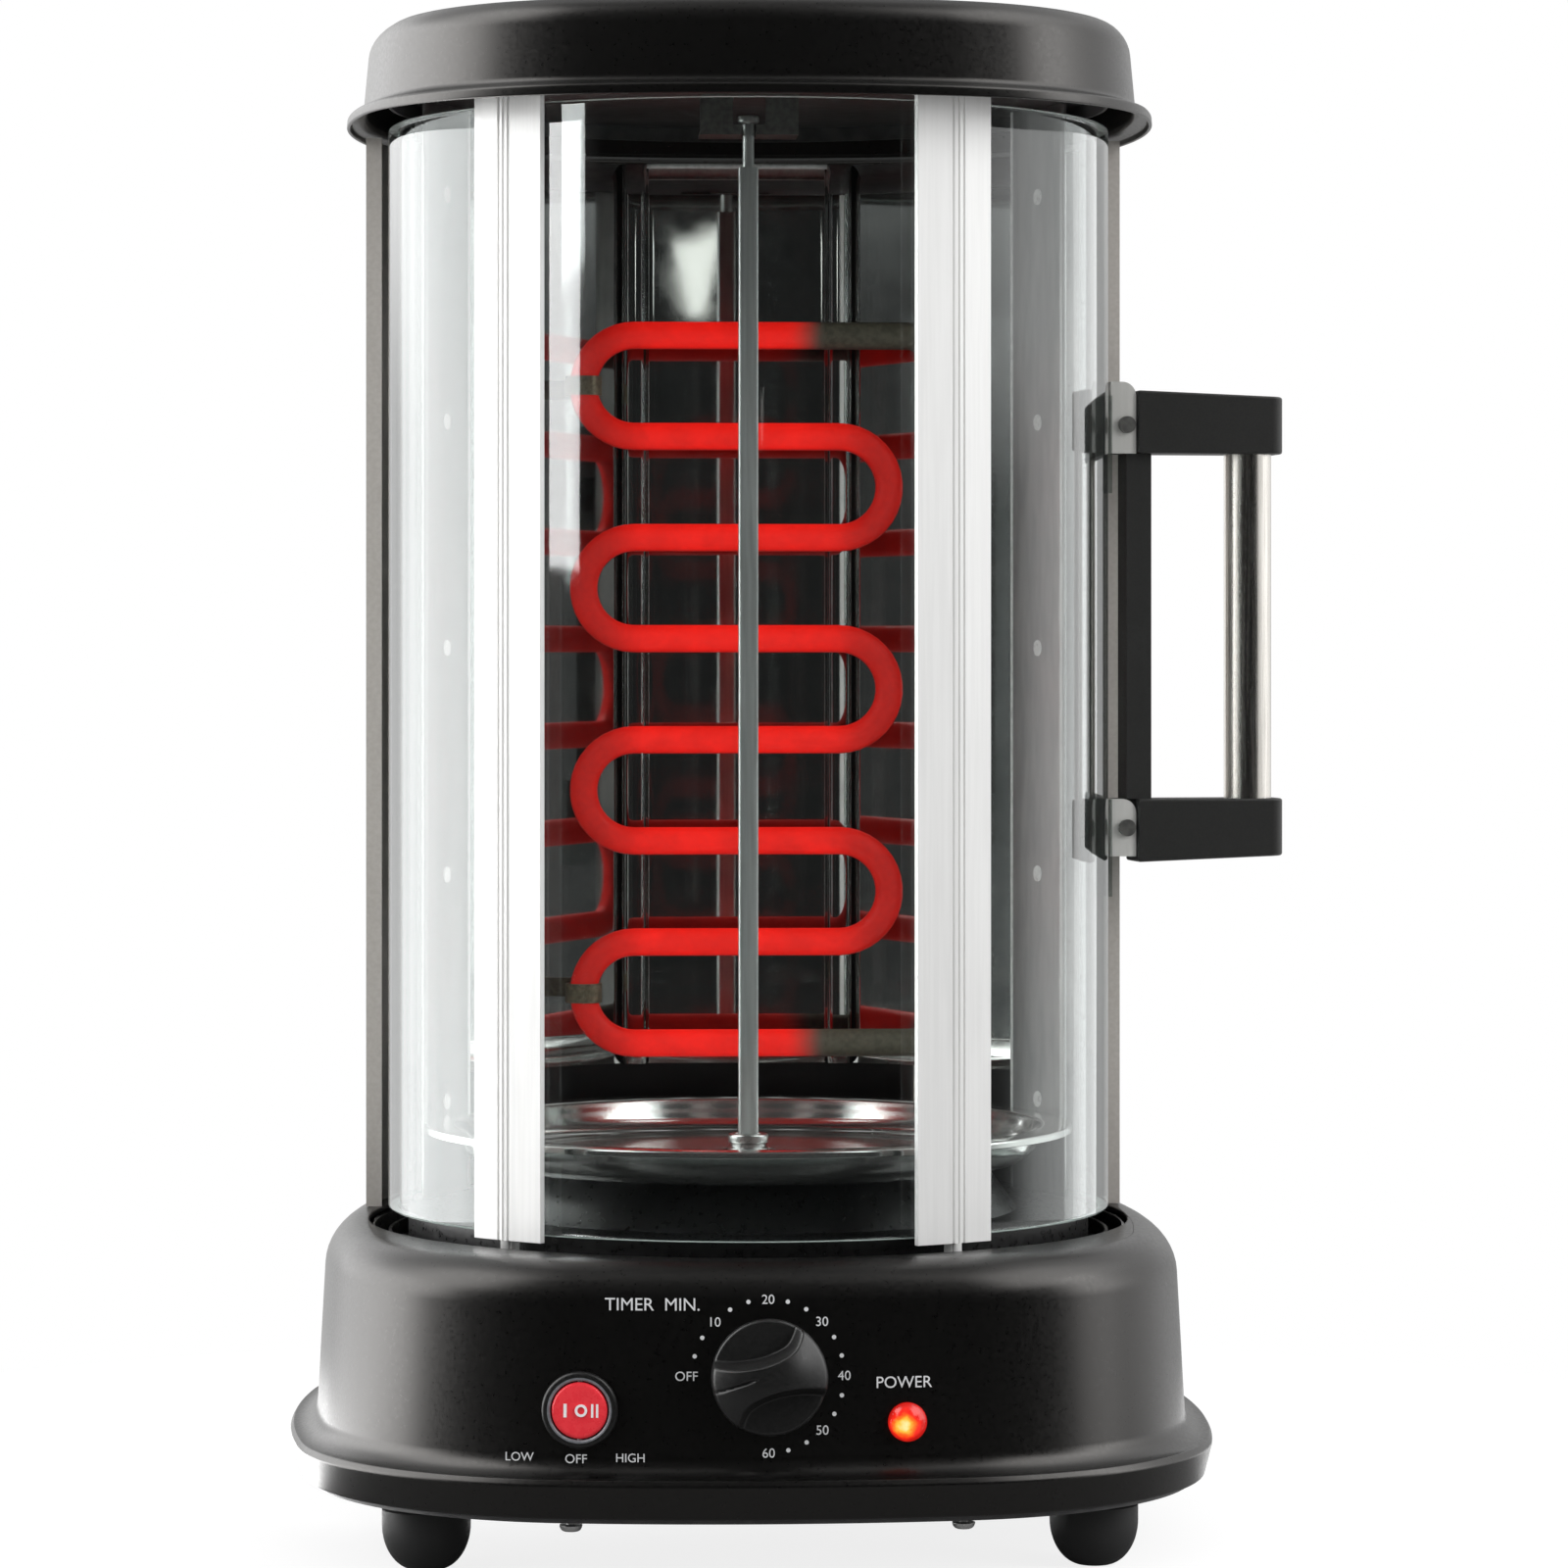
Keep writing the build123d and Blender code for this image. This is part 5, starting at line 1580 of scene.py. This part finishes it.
    def build(self) -> None:
        """Builds and fits the bracket's edge, the spit, the hub and the tray."""
        for name, patches, *wear in (
            # The bracket's edge wears the pale finish as a painted highlight.
            ("bracket_lip", self.bracket_lip(), PALE_STEEL_AND_FOLD_HIGHLIGHT, Body.HOUSING, Slot.POLISHED_STEEL),
            ("square_spit", self.bar(), SPIT_STEEL, Body.SKEWER, Slot.FASTENER_STEEL, "spit"),
            ("grooved_hub", [self.hub_patch()], STEEL, Body.DRIVE, Slot.FASTENER_STEEL, "drive_hub"),
            ("spun_tray", [self.tray()], SPUN_STEEL, Body.TRAY, Slot.POLISHED_STEEL, "drip_tray"),
        ):
            fit(make_piece(name, patches), *wear)


@dataclass
class Controls:
    """Timer knob, rocker switch, pilot lamp and their printing on the front wall."""

    base: Base
    knob_at: Pair = (0.0, 61.3)
    knob: float = 16.3
    knob_gap: float = 3.0
    knob_face: float = 7.6
    knob_top: float = 17.2
    knob_drop: float = 5.2
    knob_power: float = 2.4
    knob_brow: Pair = (0.06, 1.1)
    knob_ease: float = 0.6
    knob_crease: float = 50.0
    pocket_edge: Pairs = (
        (-1.1, 0.18), (-0.75, 0.13), (-0.4, 0.14), (-0.05, 0.21), (0.2, 0.31), (0.36, 0.4),
        (0.48, 0.52), (0.56, 0.7), (0.61, 0.9), (0.66, 1.2))
    pocket_wall: float = 0.16
    pocket_rounds: int = 4
    pointer_at: Pair = (-0.6, -0.12)
    pointer_half: Pair = (0.34, 0.022)
    pointer_tilt: float = 0.33
    pointer_depth: float = 0.7
    shaft: float = 3.0
    shaft_root: float = 0.5
    shaft_back: float = 18.0
    switch_at: Pair = (-53.0, 51.6)
    bezel: float = 10.9
    bezel_hole: float = 8.35
    bezel_rise: float = 2.2
    bezel_neck: float = 9.4
    bezel_back: float = 12.0
    brow_depth: float = 0.9
    brow_width: float = 0.85
    brow_proud: Pair = (0.05, 0.03)
    rocker: float = 8.0
    rocker_front: float = 2.5
    rocker_back: float = 4.4
    rocker_brow: Pair = (0.16, 1.2)
    valley: Pair = (0.35, 0.5)
    barrel: float = 0.82
    bars: Pairs = ((-4.0, 0.45), (3.7, 0.32), (5.1, 0.32))
    bar_half: float = 1.9
    ring_mark: Pair = (1.05, 1.75)
    ring_at: float = 0.5
    mark_sink: Triple = (0.04, 0.1, 0.6)
    lamp_at: Pair = (39.3, 48.0)
    lamp: float = 5.5
    lamp_flange: float = 1.5
    lamp_dome: float = 3.0
    lamp_neck: float = 4.4
    lamp_back: float = 16.0
    lamp_ease: Pair = (0.25, 0.2)
    lamp_core: Triple = (-1.3, -0.7, 3.4)
    words: tuple[tuple[str, float, float, float], ...] = (
        ("TIMER  MIN.", 3.5, -32.6, 81.4), ("LOW", 2.4, -70.2, 38.4), ("OFF", 2.5, -54.2, 38.0),
        ("HIGH", 2.4, -38.9, 38.4), ("POWER", 3.2, 38.4, 59.2))
    dial: float = 21.5
    dial_marks: tuple[str, ...] = ("OFF", "10", "20", "30", "40", "50", "60")
    dial_cap: float = 2.6
    dial_dot: float = 0.62
    dial_start: float = -90.0
    dial_step: float = 15.0
    dial_steps: int = 3
    off_reach: float = 1.6
    proud: float = 0.08

    def knob_patch(self) -> Patch:
        """Knob: a dome over polar coordinates, with two pockets that leave an S-shaped grip between them.

        A pocket's edge is a smoothed line, and its wall is a smooth step of the distance inside that line.
        The second pocket is the first turned half round. A pointer groove is cut with a narrow bell curve.

        Returns:
            The patch on its seat.
        """
        spread = np.concatenate([np.linspace(0, 0.94, 84), np.linspace(0.948, 1.0, 9)])[:, None]
        angle = np.linspace(0, 2 * np.pi, 264, endpoint=False)[None]
        u, v = spread * np.cos(angle), spread * np.sin(angle)
        dome = self.knob_top - self.knob_drop * spread ** self.knob_power + 0.0 * u
        pocket = np.maximum(self.pocket(u, v), self.pocket(-u, -v))
        cos, sin = math.cos(self.pointer_tilt), math.sin(self.pointer_tilt)
        right, up = u - self.pointer_at[0], v - self.pointer_at[1]
        along, across = right * cos + up * sin, up * cos - right * sin
        groove = np.exp(-((across / self.pointer_half[1]) ** 2) - (along / self.pointer_half[0]) ** 6)
        height = dome + (self.knob_face - dome) * pocket - self.pointer_depth * groove * (1 - pocket)
        brow_width, brow_drop = self.knob_brow
        brow = np.clip((1 - spread) / brow_width, 0, 1)
        height -= brow_drop * (1 - np.sqrt(1 - (1 - brow) ** 2))
        top = np.stack([self.knob * u, self.knob * v, height], -1)
        shrink = (self.knob - self.knob_ease) / self.knob
        low = self.knob_gap
        rows = [top[-1] * (share, share, 0) + (0, 0, level) for share, level in (
            (1, low + self.knob_ease), (shrink, low), (0, low))]
        grid = np.concatenate([top, np.stack(rows)])
        return self.base.seat(*self.knob_at).place(grid_patch(grid, wrap_cols=True))

    def pocket(self, u: Array, v: Array) -> Array:
        """How deep the points of the knob's face lie in the upper pocket: 0 outside it, 1 on its floor.

        Args:
            u: Places across, as shares of the knob's radius.
            v: Places up, as shares of the knob's radius.

        Returns:
            Depth shares.
        """
        line = np.array(self.pocket_edge)
        for _ in range(self.pocket_rounds):
            near, far = line[:-1], line[1:]
            cuts = np.stack([0.75 * near + 0.25 * far, 0.25 * near + 0.75 * far], 1).reshape(-1, 2)
            line = np.concatenate([line[:1], cuts, line[-1:]])
        nearest = np.full(u.shape, np.inf)
        for spot in line:
            nearest = np.minimum(nearest, (u - spot[0]) ** 2 + (v - spot[1]) ** 2)
        inside = v > np.interp(u, line[:, 0], line[:, 1], right=math.inf)
        step = np.clip(np.where(inside, np.sqrt(nearest), 0.0) / self.pocket_wall, 0, 1)
        return step ** 2 * (3 - 2 * step)

    def shaft_patch(self) -> Patch:
        """Knob's shaft into the timer."""
        profile = rectangle(0.0, self.shaft, self.knob_gap + self.shaft_root, -self.shaft_back)
        return self.base.seat(*self.knob_at).place(revolve(profile, steps=40))

    def rocker_patch(self) -> Patch:
        """Rocker: a round cap whose face is a shallow valley about its pivot, over a barrel.

        The edge falls by a quarter circle, and the valley is a bell curve across the face.

        Returns:
            The patch on its seat.
        """
        spread = np.concatenate([np.linspace(0, 0.9, 22), np.linspace(0.92, 1.0, 7)])[:, None]
        angle = np.linspace(0, 2 * np.pi, 96, endpoint=False)[None]
        u, v = spread * np.cos(angle), spread * np.sin(angle)
        brow_width, brow_drop = self.rocker_brow
        edge = np.sqrt(1 - (1 - np.clip((1 - spread) / brow_width, 0, 1)) ** 2)
        dip = self.valley[1] * np.exp(-(u / self.valley[0]) ** 2) * edge
        height = self.rocker_front - brow_drop * (1 - edge) - dip
        top = np.stack([self.rocker * u, self.rocker * v, height], -1)
        low = top[-1] * (self.barrel, self.barrel, 0) - (0, 0, self.rocker_back)
        grid = np.concatenate([top, low[None], (low * (0, 0, 1))[None]])
        return self.base.seat(*self.switch_at).place(grid_patch(grid, wrap_cols=True))

    def bezel_patch(self) -> Patch:
        """Bezel: a turned ring with a round brow, over a neck through the wall.

        Returns:
            The patch on its seat.
        """
        profile = rounded((
            (self.bezel_hole, -self.bezel_back, 0.0),
            (self.bezel_neck, -self.bezel_back, 0.0),
            (self.bezel_neck, 0.0, 0.0),
            (self.bezel, 0.0, 0.2),
            (self.bezel, self.bezel_rise, 1.1),
            (self.bezel_hole, self.bezel_rise, 0.7),
        ), closed=True, steps=7)
        return self.base.seat(*self.switch_at).place(revolve(profile, steps=96, loop=True))

    def highlight_ring(self) -> Patch:
        """Thin turned band on the bezel's inner edge that follows its round, whose grey colour paints the
        highlight that the edge catches.

        Returns:
            The patch on its seat.
        """
        low, high = self.bezel_rise - self.brow_depth, self.bezel_rise + self.brow_proud[1]
        near, far = self.bezel_hole - self.brow_proud[0], self.bezel_hole + self.brow_width
        profile = rounded((
            (near, low, 0.0),
            (near, high, 0.7),
            (far, high, 0.0),
            (far, low, 0.0),
        ), closed=True, steps=7)
        return self.base.seat(*self.switch_at).place(revolve(profile, steps=96, loop=True))

    def lamp_patch(self) -> Patch:
        """Lamp lens: a flange and a dome that is part of a sphere, over a neck through the wall.

        Returns:
            The patch on its seat.
        """
        sphere = (self.lamp ** 2 + self.lamp_dome ** 2) / (2 * self.lamp_dome)
        reach = np.linspace(self.lamp - self.lamp_ease[0], 0, 18)
        middle = self.lamp_flange + self.lamp_dome - sphere
        dome = np.column_stack([reach, middle + np.sqrt(sphere ** 2 - reach ** 2)])
        neck = np.array([
            (0.0, -self.lamp_back),
            (self.lamp_neck, -self.lamp_back),
            (self.lamp_neck, 0.0),
            (self.lamp, 0.0),
            (self.lamp, self.lamp_flange - self.lamp_ease[1]),
        ])
        return self.base.seat(*self.lamp_at).place(revolve(np.concatenate([neck, dome]), steps=64))

    def letters(self, text: str, cap: float) -> Patch:
        """Thin letters round their own middle, with capitals of a given height.

        Args:
            text: Letters to cut.
            cap: Height of a capital.

        Returns:
            The patch, lying flat with its thickness along the third axis.
        """
        curve = bpy.data.curves.new("letters", "FONT")
        curve.body = text
        curve.align_x = "CENTER"
        curve.extrude = self.proud / 2
        curve.size = cap / CAP_SHARE
        curve.resolution_u = 5
        shape = bpy.data.objects.new("letters", curve)
        mesh = bpy.data.meshes.new_from_object(shape)
        points = np.empty(len(mesh.vertices) * 3)
        mesh.vertices.foreach_get("co", points)
        faces = [list(face.vertices) for face in mesh.polygons]
        points = points.reshape(-1, 3) + np.array([0.0, -cap / 2, self.proud / 2])
        bpy.data.objects.remove(shape)
        bpy.data.curves.remove(curve)
        bpy.data.meshes.remove(mesh)
        return Patch(points, np.empty((0, 4), int), faces)

    def on_wall(self, patch: Patch, across: float, height: float) -> Patch:
        """Bends a flat patch onto the front wall about a place on it."""
        points = patch.points
        return patch.moved(self.base.wall_point(points[:, 0] + across, points[:, 1] + height, points[:, 2]))

    def printing(self) -> list[Patch]:
        """All printing on the wall: words, and a dial of numbers with two dots between each pair.

        Returns:
            Patches on the wall.
        """
        marks = [self.on_wall(self.letters(text, cap), *spot) for text, cap, *spot in self.words]
        dot = revolve(rectangle(0.0, self.dial_dot, 0.0, self.proud), steps=20)
        count = self.dial_steps * (len(self.dial_marks) - 1) + 1
        for step in range(count):
            index, dots = divmod(step, self.dial_steps)
            swing = math.radians(self.dial_start + self.dial_step * step)
            reach = self.dial + (self.off_reach if step == 0 else 0.0)
            spot = (self.knob_at[0] + reach * math.sin(swing), self.knob_at[1] + reach * math.cos(swing))
            mark = dot if dots else self.letters(self.dial_marks[index], self.dial_cap)
            marks.append(self.on_wall(mark, *spot))
        return marks

    def rocker_marks(self) -> list[Patch]:
        """Marks on the rocker's face: one bar, a ring and two bars.

        Returns:
            Patches on the switch's seat.
        """
        seat = self.base.seat(*self.switch_at)
        drop, bar_sink, ring_sink = self.mark_sink
        level = self.rocker_front - drop
        marks = []
        for across, wide in self.bars:
            bar = rectangle(across - wide, across + wide, -self.bar_half, self.bar_half)
            marks.append(prism(bar, level - bar_sink, level + self.proud))
        profile = rectangle(*self.ring_mark, level - ring_sink, level + self.proud / 2)
        marks.append(revolve(profile, steps=48, loop=True).shifted(self.ring_at, 0.0, 0.0))
        return [seat.place(mark) for mark in marks]

    def build(self) -> None:
        """Builds and fits the controls."""
        knob = make_piece("wave_grip_knob", [self.knob_patch(), self.shaft_patch()], crease=self.knob_crease)
        fit(knob, BLACK_PLASTIC, Body.KNOB, Slot.BLACK_PLASTIC, "timer_knob")
        core = tuple(self.base.seat(*self.lamp_at).points(np.array(self.lamp_core)))
        lens = LampFinish("lit_red_lens", (0.4, 0.01, 0.008), (0.5, 0.015, 0.01),
                          gloss=(0.12, 0.2), core=core)
        for name, patches, *wear in (
            ("red_rocker", [self.rocker_patch()], RED_PLASTIC,
             Body.ROCKER, Slot.RED_PLASTIC, "switch_rocker"),
            ("rocker_marks", self.rocker_marks(), WHITE_MARK, Body.ROCKER, Slot.WHITE_PLASTIC),
            ("switch_brow", [self.bezel_patch()], BLACK_PLASTIC,
             Body.HOUSING, Slot.BLACK_PLASTIC, "switch_bezel"),
            # Painted highlight on the bezel's inner edge.
            ("switch_brow_highlight", [self.highlight_ring()], BROW_HIGHLIGHT, Body.HOUSING, Slot.BLACK_PLASTIC),
            ("lit_lens", [self.lamp_patch()], lens, Body.HOUSING, Slot.RED_LAMP, "lamp_lens"),
            ("wall_printing", self.printing(), PRINT, Body.HOUSING, Slot.WHITE_PLASTIC),
        ):
            fit(make_piece(name, patches), *wear)


# Carried-over solids

SOLID_FINISHES: tuple[tuple[Finish, tuple[str, ...]], ...] = (
    (SHADED_ZINC, ("base_plate", "lid_liner")),
    (ZINC, ("motor_bracket",)),
    (DECK_PAINT, ("deck_pan",)),
    (GREY_SHEET, ("rear_cover",)),
    (STEEL, ("rear_cover_screws", "motor_screws", "gearmotor_body", "timer_nut", "switch_pivot",
             "post_left", "post_right")),
    (PALE_STEEL_AND_FOLD_HIGHLIGHT, ("reflector_screws", "guide_pins_lower", "guide_pins_upper")),
    (HANDLE_STEEL, ("handle_clips",)),
    (BRACKET_STEEL, ("spit_bracket", "handle_screws")),
    (CLIP_STEEL, ("element_clips",)),
    (BRASS, ("deck_bush",)),
    (COLD_ROD, ("element_cold_ends",)),
    (SLEEVE, ("element_leads",)),
    (PALE_PLASTIC, ("terminal_block", "timer_body")),
    (BLACK_PLASTIC, ("switch_body", "cord_gland")),
    (ARM_PLASTIC, ("handle_back_bar",)),
    (ALUMINIUM, ("end_stile",)),
    (PAD_GLASS, ("handle_pads",)),
)


def dress_solids(nodes: dict[str, bpy.types.Object]) -> None:
    """Gives each carried-over solid its finish.

    Args:
        nodes: Solids of the frame by name.
    """
    for finish, names in SOLID_FINISHES:
        for name in names:
            for slot in nodes[name].material_slots:
                slot.material = finish.material()
            log.info("%s wears %s", name, finish.name)


# Studio


@dataclass(frozen=True)
class SoftBox:
    """Soft box: its place and aim in metres, its width and height, its watts and what it serves."""

    name: str
    place: Triple
    aim: Triple
    size: Pair
    power: float
    use: LampUse = LampUse.SHINE
    only: tuple[str, ...] = ()
    clear: bool = False

    def build(self) -> None:
        """Adds the lamp. It serves all pieces or only some, and if clear, just those throw shadows in it."""
        data = bpy.data.lights.new(self.name, "AREA")
        data.shape = "RECTANGLE"
        data.size, data.size_y = self.size
        data.energy = self.power
        lamp = bpy.data.objects.new(self.name, data)
        lamp.location = self.place
        lamp.visible_glossy = self.use is LampUse.SHINE
        lamp.visible_diffuse = self.use is LampUse.MATT
        lamp.rotation_euler = (Vector(self.aim) - Vector(self.place)).to_track_quat("-Z", "Y").to_euler()
        bpy.context.scene.collection.objects.link(lamp)
        if self.only:
            served = bpy.data.collections.new(f"{self.name}_served")
            for piece in self.only:
                served.objects.link(bpy.data.objects[piece])
            lamp.light_linking.receiver_collection = served
            if self.clear:
                lamp.light_linking.blocker_collection = served


PANES = ("curved_pane_left", "curved_pane_centre", "curved_pane_right")
GRIP = ("brushed_tube_grip",)
KNOB = ("wave_grip_knob",)
SHELLS = ("base_pressing", "lid_pressing", *KNOB)
SOFT_BOXES = (
    SoftBox("left_panel", (-1.24, -0.66, 0.92), (0.0, 0.0, 0.92), (0.36, 1.16), 20.0, only=PANES),
    SoftBox("rear_panel", (1.03, 0.87, 0.5), (0.0, 0.0, 0.4), (0.5, 1.3), 2.2, only=PANES),
    SoftBox("grip_left", (-1.14, 0.11, 0.4), (0.15, 0.0, 0.3), (1.9, 1.2), 15.0, only=GRIP, clear=True),
    SoftBox("grip_right", (1.39, -0.38, 0.4), (0.15, 0.0, 0.3), (1.4, 1.2), 5.2, only=GRIP),
    SoftBox("right_panel", (1.4, -0.25, 0.5), (0.0, 0.0, 0.3), (0.55, 1.2), 4.2, only=SHELLS),
    SoftBox("knob_spot", (1.0, -1.0, 0.6), (0.0, -0.13, 0.06), (0.45, 0.45), 4.0, only=KNOB),
    SoftBox("left_box", (-1.25, -0.7, 0.8), (0.0, 0.0, 0.3), (0.7, 1.1), 9.0, LampUse.MATT),
    SoftBox("right_box", (1.25, -0.7, 0.8), (0.0, 0.0, 0.3), (0.6, 1.1), 14.0, LampUse.MATT),
)


@dataclass
class Studio:
    """White studio with soft boxes at both sides, a pale floor and the photograph's camera."""

    eye: Triple = (-0.07197, -1.64843, 0.2675)
    heading: float = 2.5
    lens: float = 123.75
    shift: Pair = (0.0228, -0.08875)
    ambient: Color = (0.62, 0.62, 0.62)
    floor_radius: float = 430.0
    floor_colors: tuple[Color, Color] = ((0.25, 0.25, 0.25), (0.27, 0.27, 0.27))
    floor_grain: float = 6.0
    floor_roughness: float = 0.9
    floor_glow: float = 0.83
    floor_shine: float = 1.3
    card_outline: Pairs = ((32.1, 530.6), (41.1, 481.9), (53.2, 481.9), (66.0, 544.2), (49.4, 533.2))
    card_depth: float = -1700.0
    card_colors: tuple[Color, Color] = ((1.0, 0.97, 0.9), (1.0, 0.98, 0.93))
    card_grain: float = 40.0
    card_glow: float = 1.5
    peak: float = 8.0
    low_ring: Pairs = (
        (-180, 0.6), (-154, 1.2), (-126, 4.0), (-110, 6.0), (-96, 7.0), (-88, 6.0), (-81, 0.2),
        (-60, 0.02), (55, 0.02), (88, 0.15), (104, 1.3), (132, 1.2), (155, 0.6), (180, 0.6))
    high_ring: Pairs = (
        (-180, 0.6), (-154, 2.2), (-126, 4.5), (-110, 6.0), (-92, 6.5), (-76, 5.0), (-66, 0.5),
        (-50, 0.015), (50, 0.01), (66, 0.15), (76, 2.6), (95, 2.6), (114, 1.2), (180, 0.6))
    top_ring: Pairs = (
        (-180, 0.6), (-130, 1.5), (-100, 4.6), (-62, 4.6), (-48, 0.05), (38, 0.05), (50, 3.9),
        (95, 3.4), (130, 1.2), (180, 0.6))
    ring_ends: Pairs = ((0.05, 0.13), (0.4, 0.6), (0.85, 0.98))
    zenith: Color = (0.3, 0.3, 0.3)

    def camera(self) -> None:
        """Level camera at the photograph's place."""
        data = bpy.data.cameras.new("photo_camera")
        data.lens = self.lens
        data.sensor_width = FILM
        data.shift_x, data.shift_y = self.shift
        camera = bpy.data.objects.new("photo_camera", data)
        camera.location = self.eye
        camera.rotation_euler = (math.pi / 2, 0.0, -math.radians(self.heading))
        bpy.context.scene.collection.objects.link(camera)
        bpy.context.scene.camera = camera

    def card(self) -> None:
        """Bright wedge of card beside the camera, which the flat mirror behind the element shows."""
        points = np.array([(across, self.card_depth, height) for across, height in self.card_outline])
        patch = Patch(points, np.empty((0, 4), int), [list(range(len(points)))])
        card = make_piece("bright_card", [patch], closed=False)
        material, graph, shader = new_material("bright_card")
        paper = graph.blend(graph.noise(self.card_grain), *self.card_colors)
        graph.feed(shader, {"Emission Color": paper, "Emission Strength": self.card_glow})
        card.data.materials.append(material)
        card.visible_camera = False
        card.visible_diffuse = False

    def ring(self, graph: Graph, parts: Sequence[Any], levels: Sequence[Pair]) -> bpy.types.NodeSocket:
        """Light level that follows the bearing from the front, which is the arctangent of x over -y.

        Args:
            graph: Node tree to fill.
            parts: Sockets with a direction's parts along the axes.
            levels: Bearings in degrees with their levels.

        Returns:
            Socket with the level.
        """
        bearing = graph.math("ARCTAN2", parts[0], graph.math("MULTIPLY", parts[1], -1.0))
        turn = graph.add("ShaderNodeMapRange", {0: bearing, 1: -math.pi, 2: math.pi}).outputs[0]
        stops = [((degrees + 180) / 360, (level / self.peak,) * 3) for degrees, level in levels]
        return graph.math("MULTIPLY", graph.ramp(turn, stops), self.peak)

    def world(self) -> None:
        """White to the eye, grey to matt surfaces, and to gloss three rings of light, dark at the front."""
        world = bpy.data.worlds.new("studio")
        bpy.context.scene.world = world
        world.use_nodes = True
        world.cycles.sampling_method = "NONE"
        graph = Graph(world.node_tree)
        parts = graph.split(graph.here("Generated"))
        rings = (self.low_ring, self.high_ring, self.top_ring)
        gloss, *above = [self.ring(graph, parts, levels) for levels in rings]
        for rise, upper in zip(self.ring_ends, (*above, self.zenith)):
            gloss = graph.blend(graph.span(parts[2], rise), gloss, upper)
        light = graph.add("ShaderNodeLightPath").outputs
        clear = graph.math("MAXIMUM", light["Is Camera Ray"], light["Is Transmission Ray"])
        seen = graph.blend(light["Is Glossy Ray"], self.ambient, gloss)
        color = graph.blend(clear, seen, (1.0, 1.0, 1.0))
        graph.feed(world.node_tree.nodes["Background"], {"Color": color, "Strength": 1.0})

    def floor(self) -> None:
        """Pale floor that keeps the shadow, lifted to meet the backdrop for the eye and for gloss."""
        disc = revolve(np.array([(0.0, 0.0), (self.floor_radius, 0.0)]), steps=96)
        floor = make_piece("studio_floor", [disc], closed=False)
        material, graph, shader = new_material("pale_floor")
        light = graph.add("ShaderNodeLightPath").outputs
        seen = graph.math("MAXIMUM", light["Is Camera Ray"], light["Is Transmission Ray"])
        ring = self.ring(graph, graph.split(graph.here()), self.low_ring)
        shine = graph.math("MULTIPLY", ring, light["Is Glossy Ray"])
        lift = graph.math("ADD", graph.math("MULTIPLY", seen, self.floor_glow),
                          graph.math("MULTIPLY", shine, self.floor_shine))
        graph.feed(shader, {
            "Base Color": graph.blend(graph.noise(self.floor_grain), *self.floor_colors),
            "Roughness": self.floor_roughness,
            "Specular IOR Level": 0.0,
            "Emission Color": (1.0, 1.0, 1.0, 1.0),
            "Emission Strength": lift,
        })
        floor.data.materials.append(material)

    def build(self) -> None:
        """Sets the camera, world, floor, card and lamps."""
        self.camera()
        self.world()
        self.floor()
        self.card()
        for box in SOFT_BOXES:
            box.build()
        bpy.context.scene.view_settings.view_transform = "Standard"


def main() -> None:
    """Builds every sub-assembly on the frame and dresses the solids."""
    logging.basicConfig(level=logging.INFO, format="%(name)s: %(message)s")
    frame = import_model()
    base = Base()
    for assembly in (base, Lid(), GlassRing(), Handle(), Heater(), Spit(), Controls(base)):
        assembly.build()
    dress_solids(frame["nodes"])
    Studio().build()


if __name__ == "__main__":
    main()
